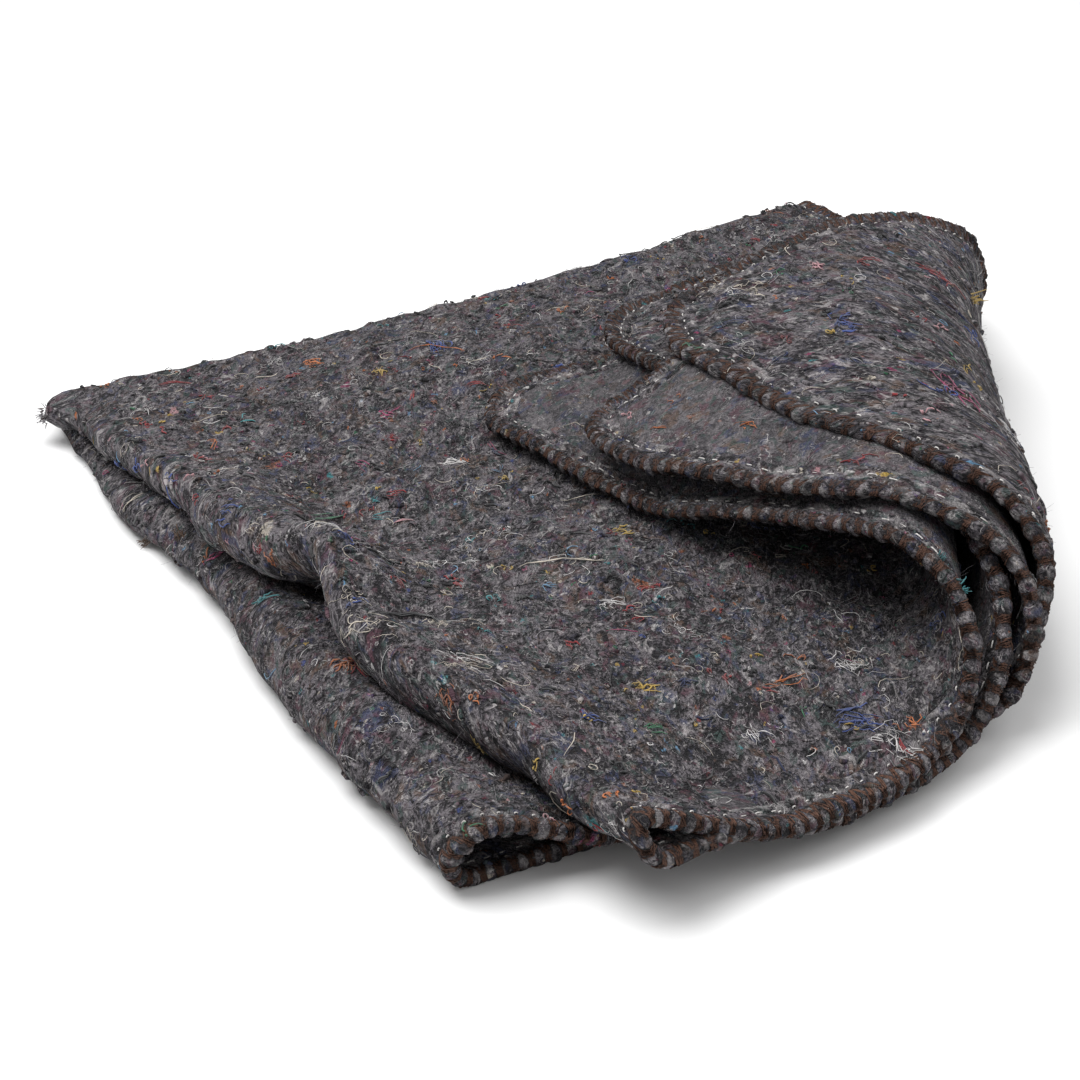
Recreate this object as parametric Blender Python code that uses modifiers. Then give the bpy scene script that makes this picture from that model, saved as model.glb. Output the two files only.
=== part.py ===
"""Moving blanket of thick recycled-fibre felt, folded twice and turned back at its loose corner.

One square sheet is folded in half, with its loops at -X, and then in half again, with its fold
at +Y. That gives four layers: 1 at the bottom, 2 and 3 between, 4 on top. The corner where the
four loose corners lie is rolled up and laid back over the stack, so that 4 comes lowest there.
Metres, +Z up, the open front edges at -Y, the underside flat on Z = 0.
"""

import math
from collections import namedtuple

import bpy
import numpy as np

# The cloth
SIDE = 0.985                # side of the flat sheet
CORNER_RADIUS = 0.038
THICKNESS = 0.0045
LAYER_STEP = 0.0070         # from the middle of one layer to the middle of the next

# First fold, along the middle of the sheet: two loops at -X, which open towards the front
FIRST_FOLD_SHIFT = 0.004    # from the middle of the sheet to the fold
LOWER_LOOP_HEIGHT = 0.027   # of the open front end, between the middles of the cloth
UPPER_LOOP_HEIGHT = 0.019
LOOP_LENGTH = 0.34          # the loops open up over this length from the closed corner
LOOP_SLOPE = 0.058          # and close down to the layer step over this width
LOWER_LOOP_BOW = -0.008     # sideways bow of each loop at mid-length
UPPER_LOOP_BOW = -0.019
BOW_WIDTH = 0.30            # the bow dies out over this width of cloth

# Second fold, across the first
SECOND_FOLD_SHIFT = 0.026
SECOND_FOLD_TILT = 0.055    # radians off square, so the upper pair lies turned by twice this
FRONT_LIFT = 0.014          # rise of the upper pair where it juts out past the lower pair
FRONT_LIFT_LENGTH = 0.050

# Unevenness of the stack
SWELL_HEIGHT = 0.004
SWELL_START = 0.12          # from the back and left folds to the full swell
SwellWave = namedtuple("SwellWave", "across forward phase")
SWELL_WAVES = (SwellWave(11.0, 5.0, 0.6), SwellWave(-8.0, 17.0, 2.0))

# The turned-back corner: a roll about a line across the stack
ROLL_BEARING = 0.702        # radians of its outward direction, from +X towards the front
ROLL_START = 0.414          # from the closed corner to the line
ROLL_BOW = 0.37             # the line moves out by this times the square of the way along it
ROLL_RADIUS = 0.0307        # of the innermost layer
ROLL_TURN = 3.52            # radians turned before it runs straight down to the stack
ROLL_STRAIGHT = 0.092
ROLL_EASE = 0.062           # and lies flat on the stack after this further length
ROLL_TAPER = -0.82          # growth of the roll for each metre along its line
ROLL_LOOSENESS = 1.54       # layer step at the side of the roll, in flat layer steps
ROLL_CENTRE = (0.43, 0.28)  # plan point on the middle of the line
ROLL_APPROACH = 0.08        # the stack's unevenness dies out this far before the line
PROFILE_LENGTH = 0.75
PROFILE_STEPS = 1500
ARC_STEP = 1e-4
ARC_ROUNDS = 14

# Slip of each turned-back layer in its own plane, full at SLIP_LENGTH past the line:
# metres further round the roll and along its line, and how each grows across the layer
SLIP_LENGTH = 0.24
TURN_CENTRE = 0.25
Slip = namedtuple("Slip", "round along turn skew")
LAYER_SLIPS = (
    Slip(round=0.009, along=-0.108, turn=-0.72, skew=0.35),
    Slip(round=0.000, along=-0.012, turn=-0.25, skew=0.32),
    Slip(round=-0.033, along=-0.091, turn=-0.53, skew=0.15),
    Slip(round=0.006, along=-0.018, turn=-0.01, skew=0.07),
)

# Plan point, measured from the closed corner, that lies over the part's origin
PLAN_CENTRE = (0.2347, 0.2599)

# The mesh
CELLS = 52                  # cells along each side of the sheet
LOOP_CELLS = 3              # cells on each side of a fold's crown
EDGE_GRADE = 0.45           # cells get finer towards the sheet's edges

FELT_COLOUR = (0.105, 0.100, 0.108, 1.0)
FELT_ROUGHNESS = 0.95


def smooth(x):
    """Ease from 0 to 1 with level ends."""
    x = np.clip(x, 0.0, 1.0)
    return x * x * (3.0 - 2.0 * x)


def turned_axes(x, y, angle):
    """Coordinates of a plan point along and across a direction turned by angle from +X."""
    return x * math.cos(angle) + y * math.sin(angle), y * math.cos(angle) - x * math.sin(angle)


def loop_radius(v):
    """Radius of the first fold at v metres along it, the lower pair's part positive."""
    height = np.where(v > 0.0, LOWER_LOOP_HEIGHT, UPPER_LOOP_HEIGHT)
    return 0.5 * (LAYER_STEP + (height - LAYER_STEP) * smooth(np.abs(v) / LOOP_LENGTH))


def loop_bow(forward, amount):
    """Sideways bow of a loop, nothing at both its ends."""
    return amount * np.sin(math.pi * np.clip(forward / (0.5 * SIDE), 0.0, 1.0))


def spread(lines, loop_lines, arc, reach):
    """Distances of grid lines from a fold: even over its crown, then finer towards the edge."""
    far = np.clip((lines - loop_lines) / (1.0 - loop_lines), 0.0, 1.0)
    graded = far * (1.0 + EDGE_GRADE) - EDGE_GRADE * far * far
    return np.minimum(lines / loop_lines, 1.0) * arc + (reach - arc) * graded


def grid_to_sheet(p, q):
    """Place a grid of -1 to 1 on the flat sheet, with its lines gathered at both folds."""
    loop_lines = 2.0 * LOOP_CELLS / CELLS
    side = np.sin(0.5 * math.pi * np.clip(p / loop_lines, -1.0, 1.0))
    back_arc = 0.5 * math.pi * LAYER_STEP * (1.0 + 0.5 * side)
    edge = 0.5 * SIDE - np.sign(q) * SECOND_FOLD_SHIFT
    along = np.sign(q) * spread(np.abs(q), loop_lines, back_arc, edge)

    crown_arc = 0.5 * math.pi * loop_radius(along)
    reach = 0.5 * SIDE - np.sign(p) * FIRST_FOLD_SHIFT
    across = spread(np.abs(p), loop_lines, crown_arc, reach)

    slant = -across * math.tan(SECOND_FOLD_TILT)
    return np.sign(p) * across, along + slant * (1.0 - np.abs(along) / edge)


def round_corners(w, v):
    """Pull the four square corners of the grid in to the sheet's rounded ones."""
    a, b = w + FIRST_FOLD_SHIFT, v + SECOND_FOLD_SHIFT
    inner = 0.5 * SIDE - CORNER_RADIUS
    x = np.clip((np.abs(a) - inner) / CORNER_RADIUS, 0.0, None)
    y = np.clip((np.abs(b) - inner) / CORNER_RADIUS, 0.0, None)
    pull = np.maximum(x, y) / np.maximum(np.hypot(x, y), 1e-9)
    in_corner = (x > 0.0) & (y > 0.0)
    a = np.where(in_corner, np.sign(a) * (inner + CORNER_RADIUS * x * pull), a)
    b = np.where(in_corner, np.sign(b) * (inner + CORNER_RADIUS * y * pull), b)
    return a - FIRST_FOLD_SHIFT, b - SECOND_FOLD_SHIFT


def before_roll(x, y):
    """1 on the flat stack, easing to 0 where the roll starts."""
    return smooth((ROLL_START - turned_axes(x, y, ROLL_BEARING)[0]) / ROLL_APPROACH)


def swell(x, y):
    """Shallow unevenness of the loose layers, nothing at the back, the left and the roll."""
    waves = sum(np.sin(wave.across * x + wave.forward * y + wave.phase) for wave in SWELL_WAVES)
    level = 0.5 + 0.5 * waves / len(SWELL_WAVES)
    return SWELL_HEIGHT * level * smooth(y / SWELL_START) * smooth(x / SWELL_START) * before_roll(x, y)


def lower_gap(x, y):
    """Step between the two lower layers at a plan point, high along the lower loop."""
    inward, forward = turned_axes(x, y, SECOND_FOLD_TILT)
    radius = loop_radius(np.maximum(forward, 1e-6))
    fall = smooth((inward - loop_bow(forward, LOWER_LOOP_BOW) - radius) / LOOP_SLOPE)
    return 2.0 * radius * (1.0 - fall) + LAYER_STEP * fall


def around_fold(distance, radius):
    """Bend a line round a half circle: the sine of its angle there and its way from the crown."""
    angle = np.clip(distance / radius, -0.5 * math.pi, 0.5 * math.pi)
    straight = np.maximum(np.abs(distance) - 0.5 * math.pi * radius, 0.0)
    return np.sin(angle), radius * (1.0 - np.cos(angle)) + straight


def fold_twice(w, v):
    """Fold the flat sheet twice. Returns plan x, plan y, height and layer, from 1 to 4."""
    radius = loop_radius(v)
    side, across = around_fold(w, radius)

    back_radius = LAYER_STEP * (1.0 + 0.5 * side)
    turned = np.abs(w) * math.sin(SECOND_FOLD_TILT) + v * math.cos(SECOND_FOLD_TILT)
    level, y = around_fold(-turned, back_radius)
    y = y + 1.5 * LAYER_STEP - back_radius
    x = across * math.cos(SECOND_FOLD_TILT) - v * math.sin(SECOND_FOLD_TILT)

    upper = level > 0.0
    bow = loop_bow(np.abs(v), np.where(upper, UPPER_LOOP_BOW, LOWER_LOOP_BOW))
    x = x + bow * np.clip(1.0 - np.abs(w) / BOW_WIDTH, 0.0, 1.0)

    bottom = 0.5 * THICKNESS
    gap = lower_gap(x, y) + swell(x, y)
    z_lower = bottom + gap * 0.5 * (1.0 - side)

    front = 0.5 * SIDE - SECOND_FOLD_SHIFT + x * math.sin(SECOND_FOLD_TILT)
    lift = FRONT_LIFT * smooth((y - front) / FRONT_LIFT_LENGTH) * before_roll(x, y)
    fall = smooth((np.abs(w) - 1.5 * radius) / LOOP_SLOPE)
    upper_gap = 2.0 * radius * (1.0 - fall) + LAYER_STEP * fall
    z_upper = bottom + gap + LAYER_STEP + lift + upper_gap * 0.5 * (1.0 + side)

    z = 0.5 * ((1.0 - level) * z_lower + (1.0 + level) * z_upper)
    layer = np.where(upper, np.where(w > 0.0, 4, 3), np.where(w > 0.0, 1, 2))
    return x, y, z, layer


def roll_profile():
    """Side view of the innermost layer round the roll: arc length, heading, run and rise."""
    arc = np.linspace(0.0, PROFILE_LENGTH, PROFILE_STEPS + 1)
    curved = ROLL_RADIUS * ROLL_TURN
    turn = ROLL_TURN * np.clip(arc / curved, 0.0, 1.0)
    heading = turn - (ROLL_TURN - math.pi) * smooth((arc - curved - ROLL_STRAIGHT) / ROLL_EASE)
    middle = 0.5 * (heading[1:] + heading[:-1])
    step = PROFILE_LENGTH / PROFILE_STEPS
    run = np.concatenate(([0.0], np.cumsum(np.cos(middle)) * step))
    rise = np.concatenate(([0.0], np.cumsum(np.sin(middle)) * step))
    return arc, heading, run, rise


def place_on_roll(distance, depth, size, arc, heading):
    """Arc length of the innermost layer opposite a point that lies depth outside it.

    The point is at its own distance round its own layer, so that no layer stretches.
    """
    loose = ROLL_LOOSENESS - 1.0
    place = distance / (1.0 + depth / ROLL_RADIUS)
    for _ in range(ARC_ROUNDS):
        turned = np.interp(place, arc, heading)
        bend = (np.interp(place + ARC_STEP, arc, heading) - turned) / ARC_STEP
        spent = size * place + depth * (turned + loose * (0.5 * turned - 0.25 * np.sin(2.0 * turned)))
        place = place - (spent - distance) / (size + depth * np.abs(bend) * ROLL_LOOSENESS)
        place = np.clip(place, 0.0, PROFILE_LENGTH)
    return place


def turn_back(x, y, z, layer):
    """Roll the loose corner of the stack up and back, each layer at its own true length."""
    outward, along = turned_axes(x, y, ROLL_BEARING)
    middle = turned_axes(*ROLL_CENTRE, ROLL_BEARING)[1]
    past = outward - ROLL_START - ROLL_BOW * (along - middle) ** 2
    slip = np.array(LAYER_SLIPS)[layer - 1]
    share = smooth(past / SLIP_LENGTH)
    past, along = (
        past + share * (slip[:, 0] + slip[:, 3] * (along - middle)),
        along + share * (slip[:, 1] + slip[:, 2] * (past - TURN_CENTRE)),
    )
    start = ROLL_START + ROLL_BOW * (along - middle) ** 2
    size = 1.0 + ROLL_TAPER * (along - middle)

    depth = (len(LAYER_SLIPS) - layer) * LAYER_STEP
    arc, heading, run, rise = roll_profile()
    place = place_on_roll(np.maximum(past, 0.0), depth, size, arc, heading)
    turned = np.interp(place, arc, heading)
    offset = depth * (1.0 + (ROLL_LOOSENESS - 1.0) * np.sin(turned) ** 2)
    out = size * np.interp(place, arc, run) + offset * np.sin(turned)
    up = size * np.interp(place, arc, rise) - offset * np.cos(turned) + depth
    outward = start + np.where(past <= 0.0, past, out)
    x, y = turned_axes(outward, along, -ROLL_BEARING)
    return x, y, z + np.where(past <= 0.0, 0.0, up)


def blanket_points(p, q):
    """World positions of unit-grid points on the folded, turned-back sheet."""
    x, y, z = turn_back(*fold_twice(*round_corners(*grid_to_sheet(p, q))))
    return np.column_stack((x - PLAN_CENTRE[0], PLAN_CENTRE[1] - y, z))


def felt_material():
    """Mid-grey matt felt."""
    material = bpy.data.materials.new("grey_felt")
    material.use_nodes = True
    shader = material.node_tree.nodes["Principled BSDF"]
    shader.inputs["Base Color"].default_value = FELT_COLOUR
    shader.inputs["Roughness"].default_value = FELT_ROUGHNESS
    shader.inputs["Metallic"].default_value = 0.0
    return material


def build_felt_sheet(collection):
    """Make the folded sheet as one closed solid."""
    bpy.ops.mesh.primitive_grid_add(x_subdivisions=CELLS, y_subdivisions=CELLS, size=2.0)
    sheet = bpy.context.object
    sheet.name = "felt_sheet"
    mesh = sheet.data
    mesh.name = "felt_sheet"
    points = np.empty(3 * len(mesh.vertices))
    mesh.vertices.foreach_get("co", points)
    points = points.reshape(-1, 3)
    mesh.vertices.foreach_set("co", blanket_points(points[:, 0], points[:, 1]).ravel())
    mesh.update()
    mesh.shade_smooth()
    mesh.materials.append(felt_material())

    thicken = sheet.modifiers.new("thickness", "SOLIDIFY")
    thicken.thickness = THICKNESS
    thicken.offset = 0.0

    for owner in list(sheet.users_collection):
        owner.objects.unlink(sheet)
    collection.objects.link(sheet)
    return sheet


def main():
    """Clear the scene and build the blanket."""
    for item in list(bpy.data.objects):
        bpy.data.objects.remove(item, do_unlink=True)
    collection = bpy.data.collections.new("moving_blanket")
    bpy.context.scene.collection.children.link(collection)
    build_felt_sheet(collection)


main()
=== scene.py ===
"""Looks of a moving blanket: thick recycled-fibre felt, overlocked all round with brown yarn.

The cloth is one square sheet, folded twice, with its loose corner rolled up and laid back over the
stack. Flat-sheet coordinates are a, across the first fold, and b, across the second, in metres from
the middle of the sheet. Layer 1 (bottom) and layer 4 (top) have a > 0, the upper pair, 3 and 4, has
b < 0. The rough face is the one that lies outside the folds, and the smooth face lies inside them.
"""

from __future__ import annotations

import logging
import math
from dataclasses import dataclass
from enum import Enum

import bpy
import numpy as np
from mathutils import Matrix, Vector
from mathutils.bvhtree import BVHTree

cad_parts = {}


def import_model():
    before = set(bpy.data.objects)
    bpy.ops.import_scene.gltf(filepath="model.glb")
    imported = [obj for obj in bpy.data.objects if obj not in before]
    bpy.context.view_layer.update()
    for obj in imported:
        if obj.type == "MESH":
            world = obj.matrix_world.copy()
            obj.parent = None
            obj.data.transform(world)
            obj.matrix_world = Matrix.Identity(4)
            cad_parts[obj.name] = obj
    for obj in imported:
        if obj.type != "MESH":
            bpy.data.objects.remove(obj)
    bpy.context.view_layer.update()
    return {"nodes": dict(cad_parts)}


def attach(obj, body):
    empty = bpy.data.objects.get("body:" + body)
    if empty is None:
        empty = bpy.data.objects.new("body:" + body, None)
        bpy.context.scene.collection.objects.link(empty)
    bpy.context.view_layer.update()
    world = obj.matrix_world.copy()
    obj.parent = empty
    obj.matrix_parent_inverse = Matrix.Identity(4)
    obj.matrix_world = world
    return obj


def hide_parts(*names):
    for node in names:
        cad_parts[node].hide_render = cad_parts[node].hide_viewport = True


LOG = logging.getLogger("moving_blanket")
FACE_APART = 0.15  # third flat-sheet coordinate of the rough face, which sets the two faces' patterns apart

Array = np.ndarray
Pair = tuple[float, float]
Triple = tuple[float, float, float]
Colour = tuple[float, float, float, float]
Socket = bpy.types.NodeSocket


def smooth(x: Array | float) -> Array:
    """Ease from 0 to 1 with level ends.

    Args:
        x: Values, clipped to 0 to 1.

    Returns:
        The eased values.
    """
    x = np.clip(x, 0.0, 1.0)
    return x * x * (3.0 - 2.0 * x)


def turned_axes(x: Array | float, y: Array | float, angle: float) -> tuple[Array, Array]:
    """Turn plan coordinates.

    Args:
        x: First coordinate.
        y: Second coordinate.
        angle: Radians from the first axis to the new one.

    Returns:
        The coordinates along and across the new axis.
    """
    return x * math.cos(angle) + y * math.sin(angle), y * math.cos(angle) - x * math.sin(angle)


def unit(vectors: Array) -> Array:
    """Scale vectors to length 1.

    Args:
        vectors: Array whose last axis holds the components.

    Returns:
        The unit vectors.
    """
    return vectors / np.maximum(np.linalg.norm(vectors, axis=-1, keepdims=True), 1e-12)


def seeded(seed: int, *words: str) -> np.random.Generator:
    """Start the random numbers of one piece.

    Args:
        seed: Seed of its kind.
        words: Words of its name, so that two pieces of a kind differ.

    Returns:
        The source of random numbers.
    """
    return np.random.default_rng(seed + sum(map(ord, "".join(words))))


def grid_faces(number: Array) -> Array:
    """List the faces of a grid.

    Args:
        number: Vertex numbers by row and column.

    Returns:
        Vertex numbers of each face.
    """
    corners = (number[:-1, :-1], number[1:, :-1], number[1:, 1:], number[:-1, 1:])
    return np.stack(corners, axis=-1).reshape(-1, 4)


class Face(Enum):
    """The two faces of the felt, as the sign of the sheet's normal."""

    ROUGH = 1.0
    SMOOTH = -1.0


@dataclass(frozen=True)
class Slip:
    """Slip of one turned-back layer in its own plane.

    Further round the roll and along its line, and how each grows across the layer.
    """

    round: float
    along: float
    turn: float
    skew: float


@dataclass(frozen=True)
class Relief:
    """Smooth random unevenness over the flat sheet."""

    seed: int
    wavelength: float
    octaves: int = 2
    lattice_size: int = 97

    def __call__(self, a: Array, b: Array) -> Array:
        """Height of the unevenness.

        Args:
            a: First flat-sheet coordinate.
            b: Second flat-sheet coordinate.

        Returns:
            Values of about -1 to 1.
        """
        total, weight = 0.0, 0.0
        for octave in range(self.octaves):
            lattice = np.random.default_rng(self.seed + octave).uniform(-1.0, 1.0, (self.lattice_size,) * 2)
            scale = 2.0**octave / self.wavelength
            x, y = a * scale + 40.0, b * scale + 40.0
            i, j = np.floor(x).astype(int), np.floor(y).astype(int)
            u, v = smooth(x - i), smooth(y - j)
            i0, j0 = i % self.lattice_size, j % self.lattice_size
            i1, j1 = (i + 1) % self.lattice_size, (j + 1) % self.lattice_size
            near = lattice[i0, j0] * (1.0 - u) + lattice[i1, j0] * u
            far = lattice[i0, j1] * (1.0 - u) + lattice[i1, j1] * u
            total = total + 0.5**octave * (near * (1.0 - v) + far * v)
            weight += 0.5**octave
        return total / weight


@dataclass(frozen=True)
class Nudge:
    """Push at one plan position that moves all the layers there together."""

    centre: Pair
    move: Triple


@dataclass(frozen=True)
class Shift:
    """Push on one part of the flat sheet, and on nothing above or below it."""

    centre: Pair
    reach: Pair
    move: Triple


@dataclass(frozen=True)
class FoldedCloth:
    """Shape of the middle of the cloth, folded twice and rolled back at its loose corner."""

    side: float = 0.985
    corner_radius: float = 0.038
    thickness: float = 0.0045
    layer_step: float = 0.0070
    first_fold_shift: float = 0.004
    lower_loop_height: float = 0.027
    upper_loop_height: float = 0.019
    loop_length: float = 0.34
    loop_slope: float = 0.058
    lower_loop_bow: float = -0.008
    upper_loop_bow: float = -0.019
    bow_width: float = 0.30
    second_fold_shift: float = 0.026
    second_fold_tilt: float = 0.055
    front_lift: float = 0.014
    front_lift_length: float = 0.050
    swell_height: float = 0.004
    swell_start: float = 0.12
    swell_waves: tuple[Triple, ...] = ((11.0, 5.0, 0.6), (-8.0, 17.0, 2.0))
    roll_bearing: float = 0.702
    roll_start: float = 0.414
    roll_bow: float = 0.37
    roll_radius: float = 0.0307
    roll_turn: float = 3.52
    roll_straight: float = 0.092
    roll_ease: float = 0.062
    roll_taper: float = -0.82
    roll_looseness: float = 1.54
    roll_centre: Pair = (0.43, 0.28)
    roll_approach: float = 0.08
    profile_length: float = 0.75
    profile_steps: int = 1500
    arc_step: float = 1e-4
    arc_rounds: int = 14
    slip_length: float = 0.24
    turn_centre: float = 0.25
    slips: tuple[Slip, ...] = (
        Slip(round=0.009, along=-0.108, turn=-0.72, skew=0.35),
        Slip(round=0.000, along=-0.012, turn=-0.25, skew=0.32),
        Slip(round=-0.033, along=-0.091, turn=-0.53, skew=0.15),
        Slip(round=0.006, along=-0.018, turn=-0.01, skew=0.07),
    )
    plan_centre: Pair = (0.2347, 0.2599)
    nudge_reach: float = 0.075
    nudge_height: float = 0.03
    waves: tuple[Relief, ...] = (Relief(61, 0.050, 3), Relief(67, 0.050, 3), Relief(73, 0.060, 3))
    wave_height: Triple = (0.0042, 0.0042, 0.0030)
    wave_lean: Pair = (1.3, -1.1)
    nudges: tuple[Nudge, ...] = ()
    shifts: tuple[Shift, ...] = ()

    def loop_radius(self, v: Array) -> Array:
        """Radius of the first fold.

        Args:
            v: Distance along the fold from the closed corner, the lower pair's part positive.

        Returns:
            The radius there.
        """
        height = np.where(v > 0.0, self.lower_loop_height, self.upper_loop_height)
        opened = (height - self.layer_step) * smooth(np.abs(v) / self.loop_length)
        return 0.5 * (self.layer_step + opened)

    def loop_bow(self, forward: Array, amount: Array | float) -> Array:
        """Sideways bow of a loop, nothing at both its ends.

        Args:
            forward: Distance from the closed corner.
            amount: Bow at mid-length.

        Returns:
            The bow there.
        """
        return amount * np.sin(math.pi * np.clip(forward / (0.5 * self.side), 0.0, 1.0))

    def before_roll(self, x: Array, y: Array) -> Array:
        """1 on the flat stack, easing to 0 where the roll starts.

        Args:
            x: Plan x from the closed corner.
            y: Plan y towards the front.

        Returns:
            The share of the stack's unevenness that is left.
        """
        outward = turned_axes(x, y, self.roll_bearing)[0]
        return smooth((self.roll_start - outward) / self.roll_approach)

    def swell(self, x: Array, y: Array) -> Array:
        """Shallow unevenness of the loose layers.

        Args:
            x: Plan x from the closed corner.
            y: Plan y towards the front.

        Returns:
            The extra height.
        """
        waves = sum(np.sin(p * x + q * y + phase) for p, q, phase in self.swell_waves)
        level = 0.5 + 0.5 * waves / len(self.swell_waves)
        inside = smooth(y / self.swell_start) * smooth(x / self.swell_start)
        return self.swell_height * level * inside * self.before_roll(x, y)

    def lower_gap(self, x: Array, y: Array) -> Array:
        """Step between the two lower layers.

        Args:
            x: Plan x from the closed corner.
            y: Plan y towards the front.

        Returns:
            The step, high along the lower loop.
        """
        inward, forward = turned_axes(x, y, self.second_fold_tilt)
        radius = self.loop_radius(np.maximum(forward, 1e-6))
        crown = self.loop_bow(forward, self.lower_loop_bow) + radius
        fall = smooth((inward - crown) / self.loop_slope)
        return 2.0 * radius * (1.0 - fall) + self.layer_step * fall

    @staticmethod
    def around_fold(distance: Array, radius: Array) -> tuple[Array, Array]:
        """Bend a line round a half circle.

        Args:
            distance: Signed distance from the crown along the cloth.
            radius: Radius of the half circle.

        Returns:
            The sine of the angle turned and the way in from the crown.
        """
        angle = np.clip(distance / radius, -0.5 * math.pi, 0.5 * math.pi)
        straight = np.maximum(np.abs(distance) - 0.5 * math.pi * radius, 0.0)
        return np.sin(angle), radius * (1.0 - np.cos(angle)) + straight

    def fold_twice(self, w: Array, v: Array) -> tuple[Array, Array, Array, Array]:
        """Fold the flat sheet twice.

        Args:
            w: Distance from the first fold.
            v: Distance from the second fold.

        Returns:
            Plan x, plan y, height and the layer, from 1 to 4.
        """
        tilt = self.second_fold_tilt
        radius = self.loop_radius(v)
        turn_side, across = self.around_fold(w, radius)

        back_radius = self.layer_step * (1.0 + 0.5 * turn_side)
        turned = np.abs(w) * math.sin(tilt) + v * math.cos(tilt)
        level, y = self.around_fold(-turned, back_radius)
        y = y + 1.5 * self.layer_step - back_radius
        x = across * math.cos(tilt) - v * math.sin(tilt)

        upper = level > 0.0
        bow = self.loop_bow(np.abs(v), np.where(upper, self.upper_loop_bow, self.lower_loop_bow))
        x = x + bow * np.clip(1.0 - np.abs(w) / self.bow_width, 0.0, 1.0)

        bottom = 0.5 * self.thickness
        gap = self.lower_gap(x, y) + self.swell(x, y)
        z_lower = bottom + gap * 0.5 * (1.0 - turn_side)

        front = 0.5 * self.side - self.second_fold_shift + x * math.sin(tilt)
        lift = self.front_lift * smooth((y - front) / self.front_lift_length) * self.before_roll(x, y)
        fall = smooth((np.abs(w) - 1.5 * radius) / self.loop_slope)
        upper_gap = 2.0 * radius * (1.0 - fall) + self.layer_step * fall
        z_upper = bottom + gap + self.layer_step + lift + upper_gap * 0.5 * (1.0 + turn_side)

        z = 0.5 * ((1.0 - level) * z_lower + (1.0 + level) * z_upper)
        layer = np.where(upper, np.where(w > 0.0, 4, 3), np.where(w > 0.0, 1, 2))
        return x, y, z, layer

    def roll_profile(self) -> tuple[Array, Array, Array, Array]:
        """Side view of the innermost layer round the roll.

        Returns:
            Arc length, heading, run and rise.
        """
        arc = np.linspace(0.0, self.profile_length, self.profile_steps + 1)
        curved = self.roll_radius * self.roll_turn
        turn = self.roll_turn * np.clip(arc / curved, 0.0, 1.0)
        settled = smooth((arc - curved - self.roll_straight) / self.roll_ease)
        heading = turn - (self.roll_turn - math.pi) * settled
        middle = 0.5 * (heading[1:] + heading[:-1])
        step = self.profile_length / self.profile_steps
        run = np.concatenate(([0.0], np.cumsum(np.cos(middle)) * step))
        rise = np.concatenate(([0.0], np.cumsum(np.sin(middle)) * step))
        return arc, heading, run, rise

    def place_on_roll(self, distance: Array, depth: Array, size: Array, arc: Array, heading: Array) -> Array:
        """Find where on the innermost layer a point of an outer layer lies.

        Args:
            distance: Distance round the point's own layer.
            depth: How far that layer lies outside the innermost one.
            size: Size of the roll there.
            arc: Arc length of the profile.
            heading: Heading of the profile.

        Returns:
            Arc length of the innermost layer opposite each point.
        """
        loose = self.roll_looseness - 1.0
        place = distance / (1.0 + depth / self.roll_radius)
        for _ in range(self.arc_rounds):
            turned = np.interp(place, arc, heading)
            bend = (np.interp(place + self.arc_step, arc, heading) - turned) / self.arc_step
            wound = turned + loose * (0.5 * turned - 0.25 * np.sin(2.0 * turned))
            spent = size * place + depth * wound
            place = place - (spent - distance) / (size + depth * np.abs(bend) * self.roll_looseness)
            place = np.clip(place, 0.0, self.profile_length)
        return place

    def turn_back(self, x: Array, y: Array, z: Array, layer: Array) -> tuple[Array, Array, Array]:
        """Roll the loose corner of the stack up and back.

        Args:
            x: Plan x of the flat stack.
            y: Plan y of the flat stack.
            z: Height in the flat stack.
            layer: Layer, from 1 to 4.

        Returns:
            Plan x, plan y and height after the roll.
        """
        outward, along = turned_axes(x, y, self.roll_bearing)
        middle = turned_axes(*self.roll_centre, self.roll_bearing)[1]
        past = outward - self.roll_start - self.roll_bow * (along - middle) ** 2
        table = np.array([(s.round, s.along, s.turn, s.skew) for s in self.slips])
        slip = np.moveaxis(table[layer - 1], -1, 0)
        share = smooth(past / self.slip_length)
        past, along = (
            past + share * (slip[0] + slip[3] * (along - middle)),
            along + share * (slip[1] + slip[2] * (past - self.turn_centre)),
        )
        start = self.roll_start + self.roll_bow * (along - middle) ** 2
        size = 1.0 + self.roll_taper * (along - middle)

        depth = (len(self.slips) - layer) * self.layer_step
        arc, heading, run, rise = self.roll_profile()
        place = self.place_on_roll(np.maximum(past, 0.0), depth, size, arc, heading)
        turned = np.interp(place, arc, heading)
        offset = depth * (1.0 + (self.roll_looseness - 1.0) * np.sin(turned) ** 2)
        out = size * np.interp(place, arc, run) + offset * np.sin(turned)
        up = size * np.interp(place, arc, rise) - offset * np.cos(turned) + depth
        outward = start + np.where(past <= 0.0, past, out)
        x, y = turned_axes(outward, along, -self.roll_bearing)
        return x, y, z + np.where(past <= 0.0, 0.0, up)

    def points(self, a: Array, b: Array) -> Array:
        """Fold points of the flat sheet.

        Args:
            a: First flat-sheet coordinate.
            b: Second flat-sheet coordinate.

        Returns:
            World positions on the middle of the cloth.
        """
        folded = self.fold_twice(a - self.first_fold_shift, b - self.second_fold_shift)
        x, y, z = self.turn_back(*folded)
        place = np.stack((x - self.plan_centre[0], self.plan_centre[1] - y, z), axis=-1)
        return place + self.settling(place, a, b)

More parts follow.
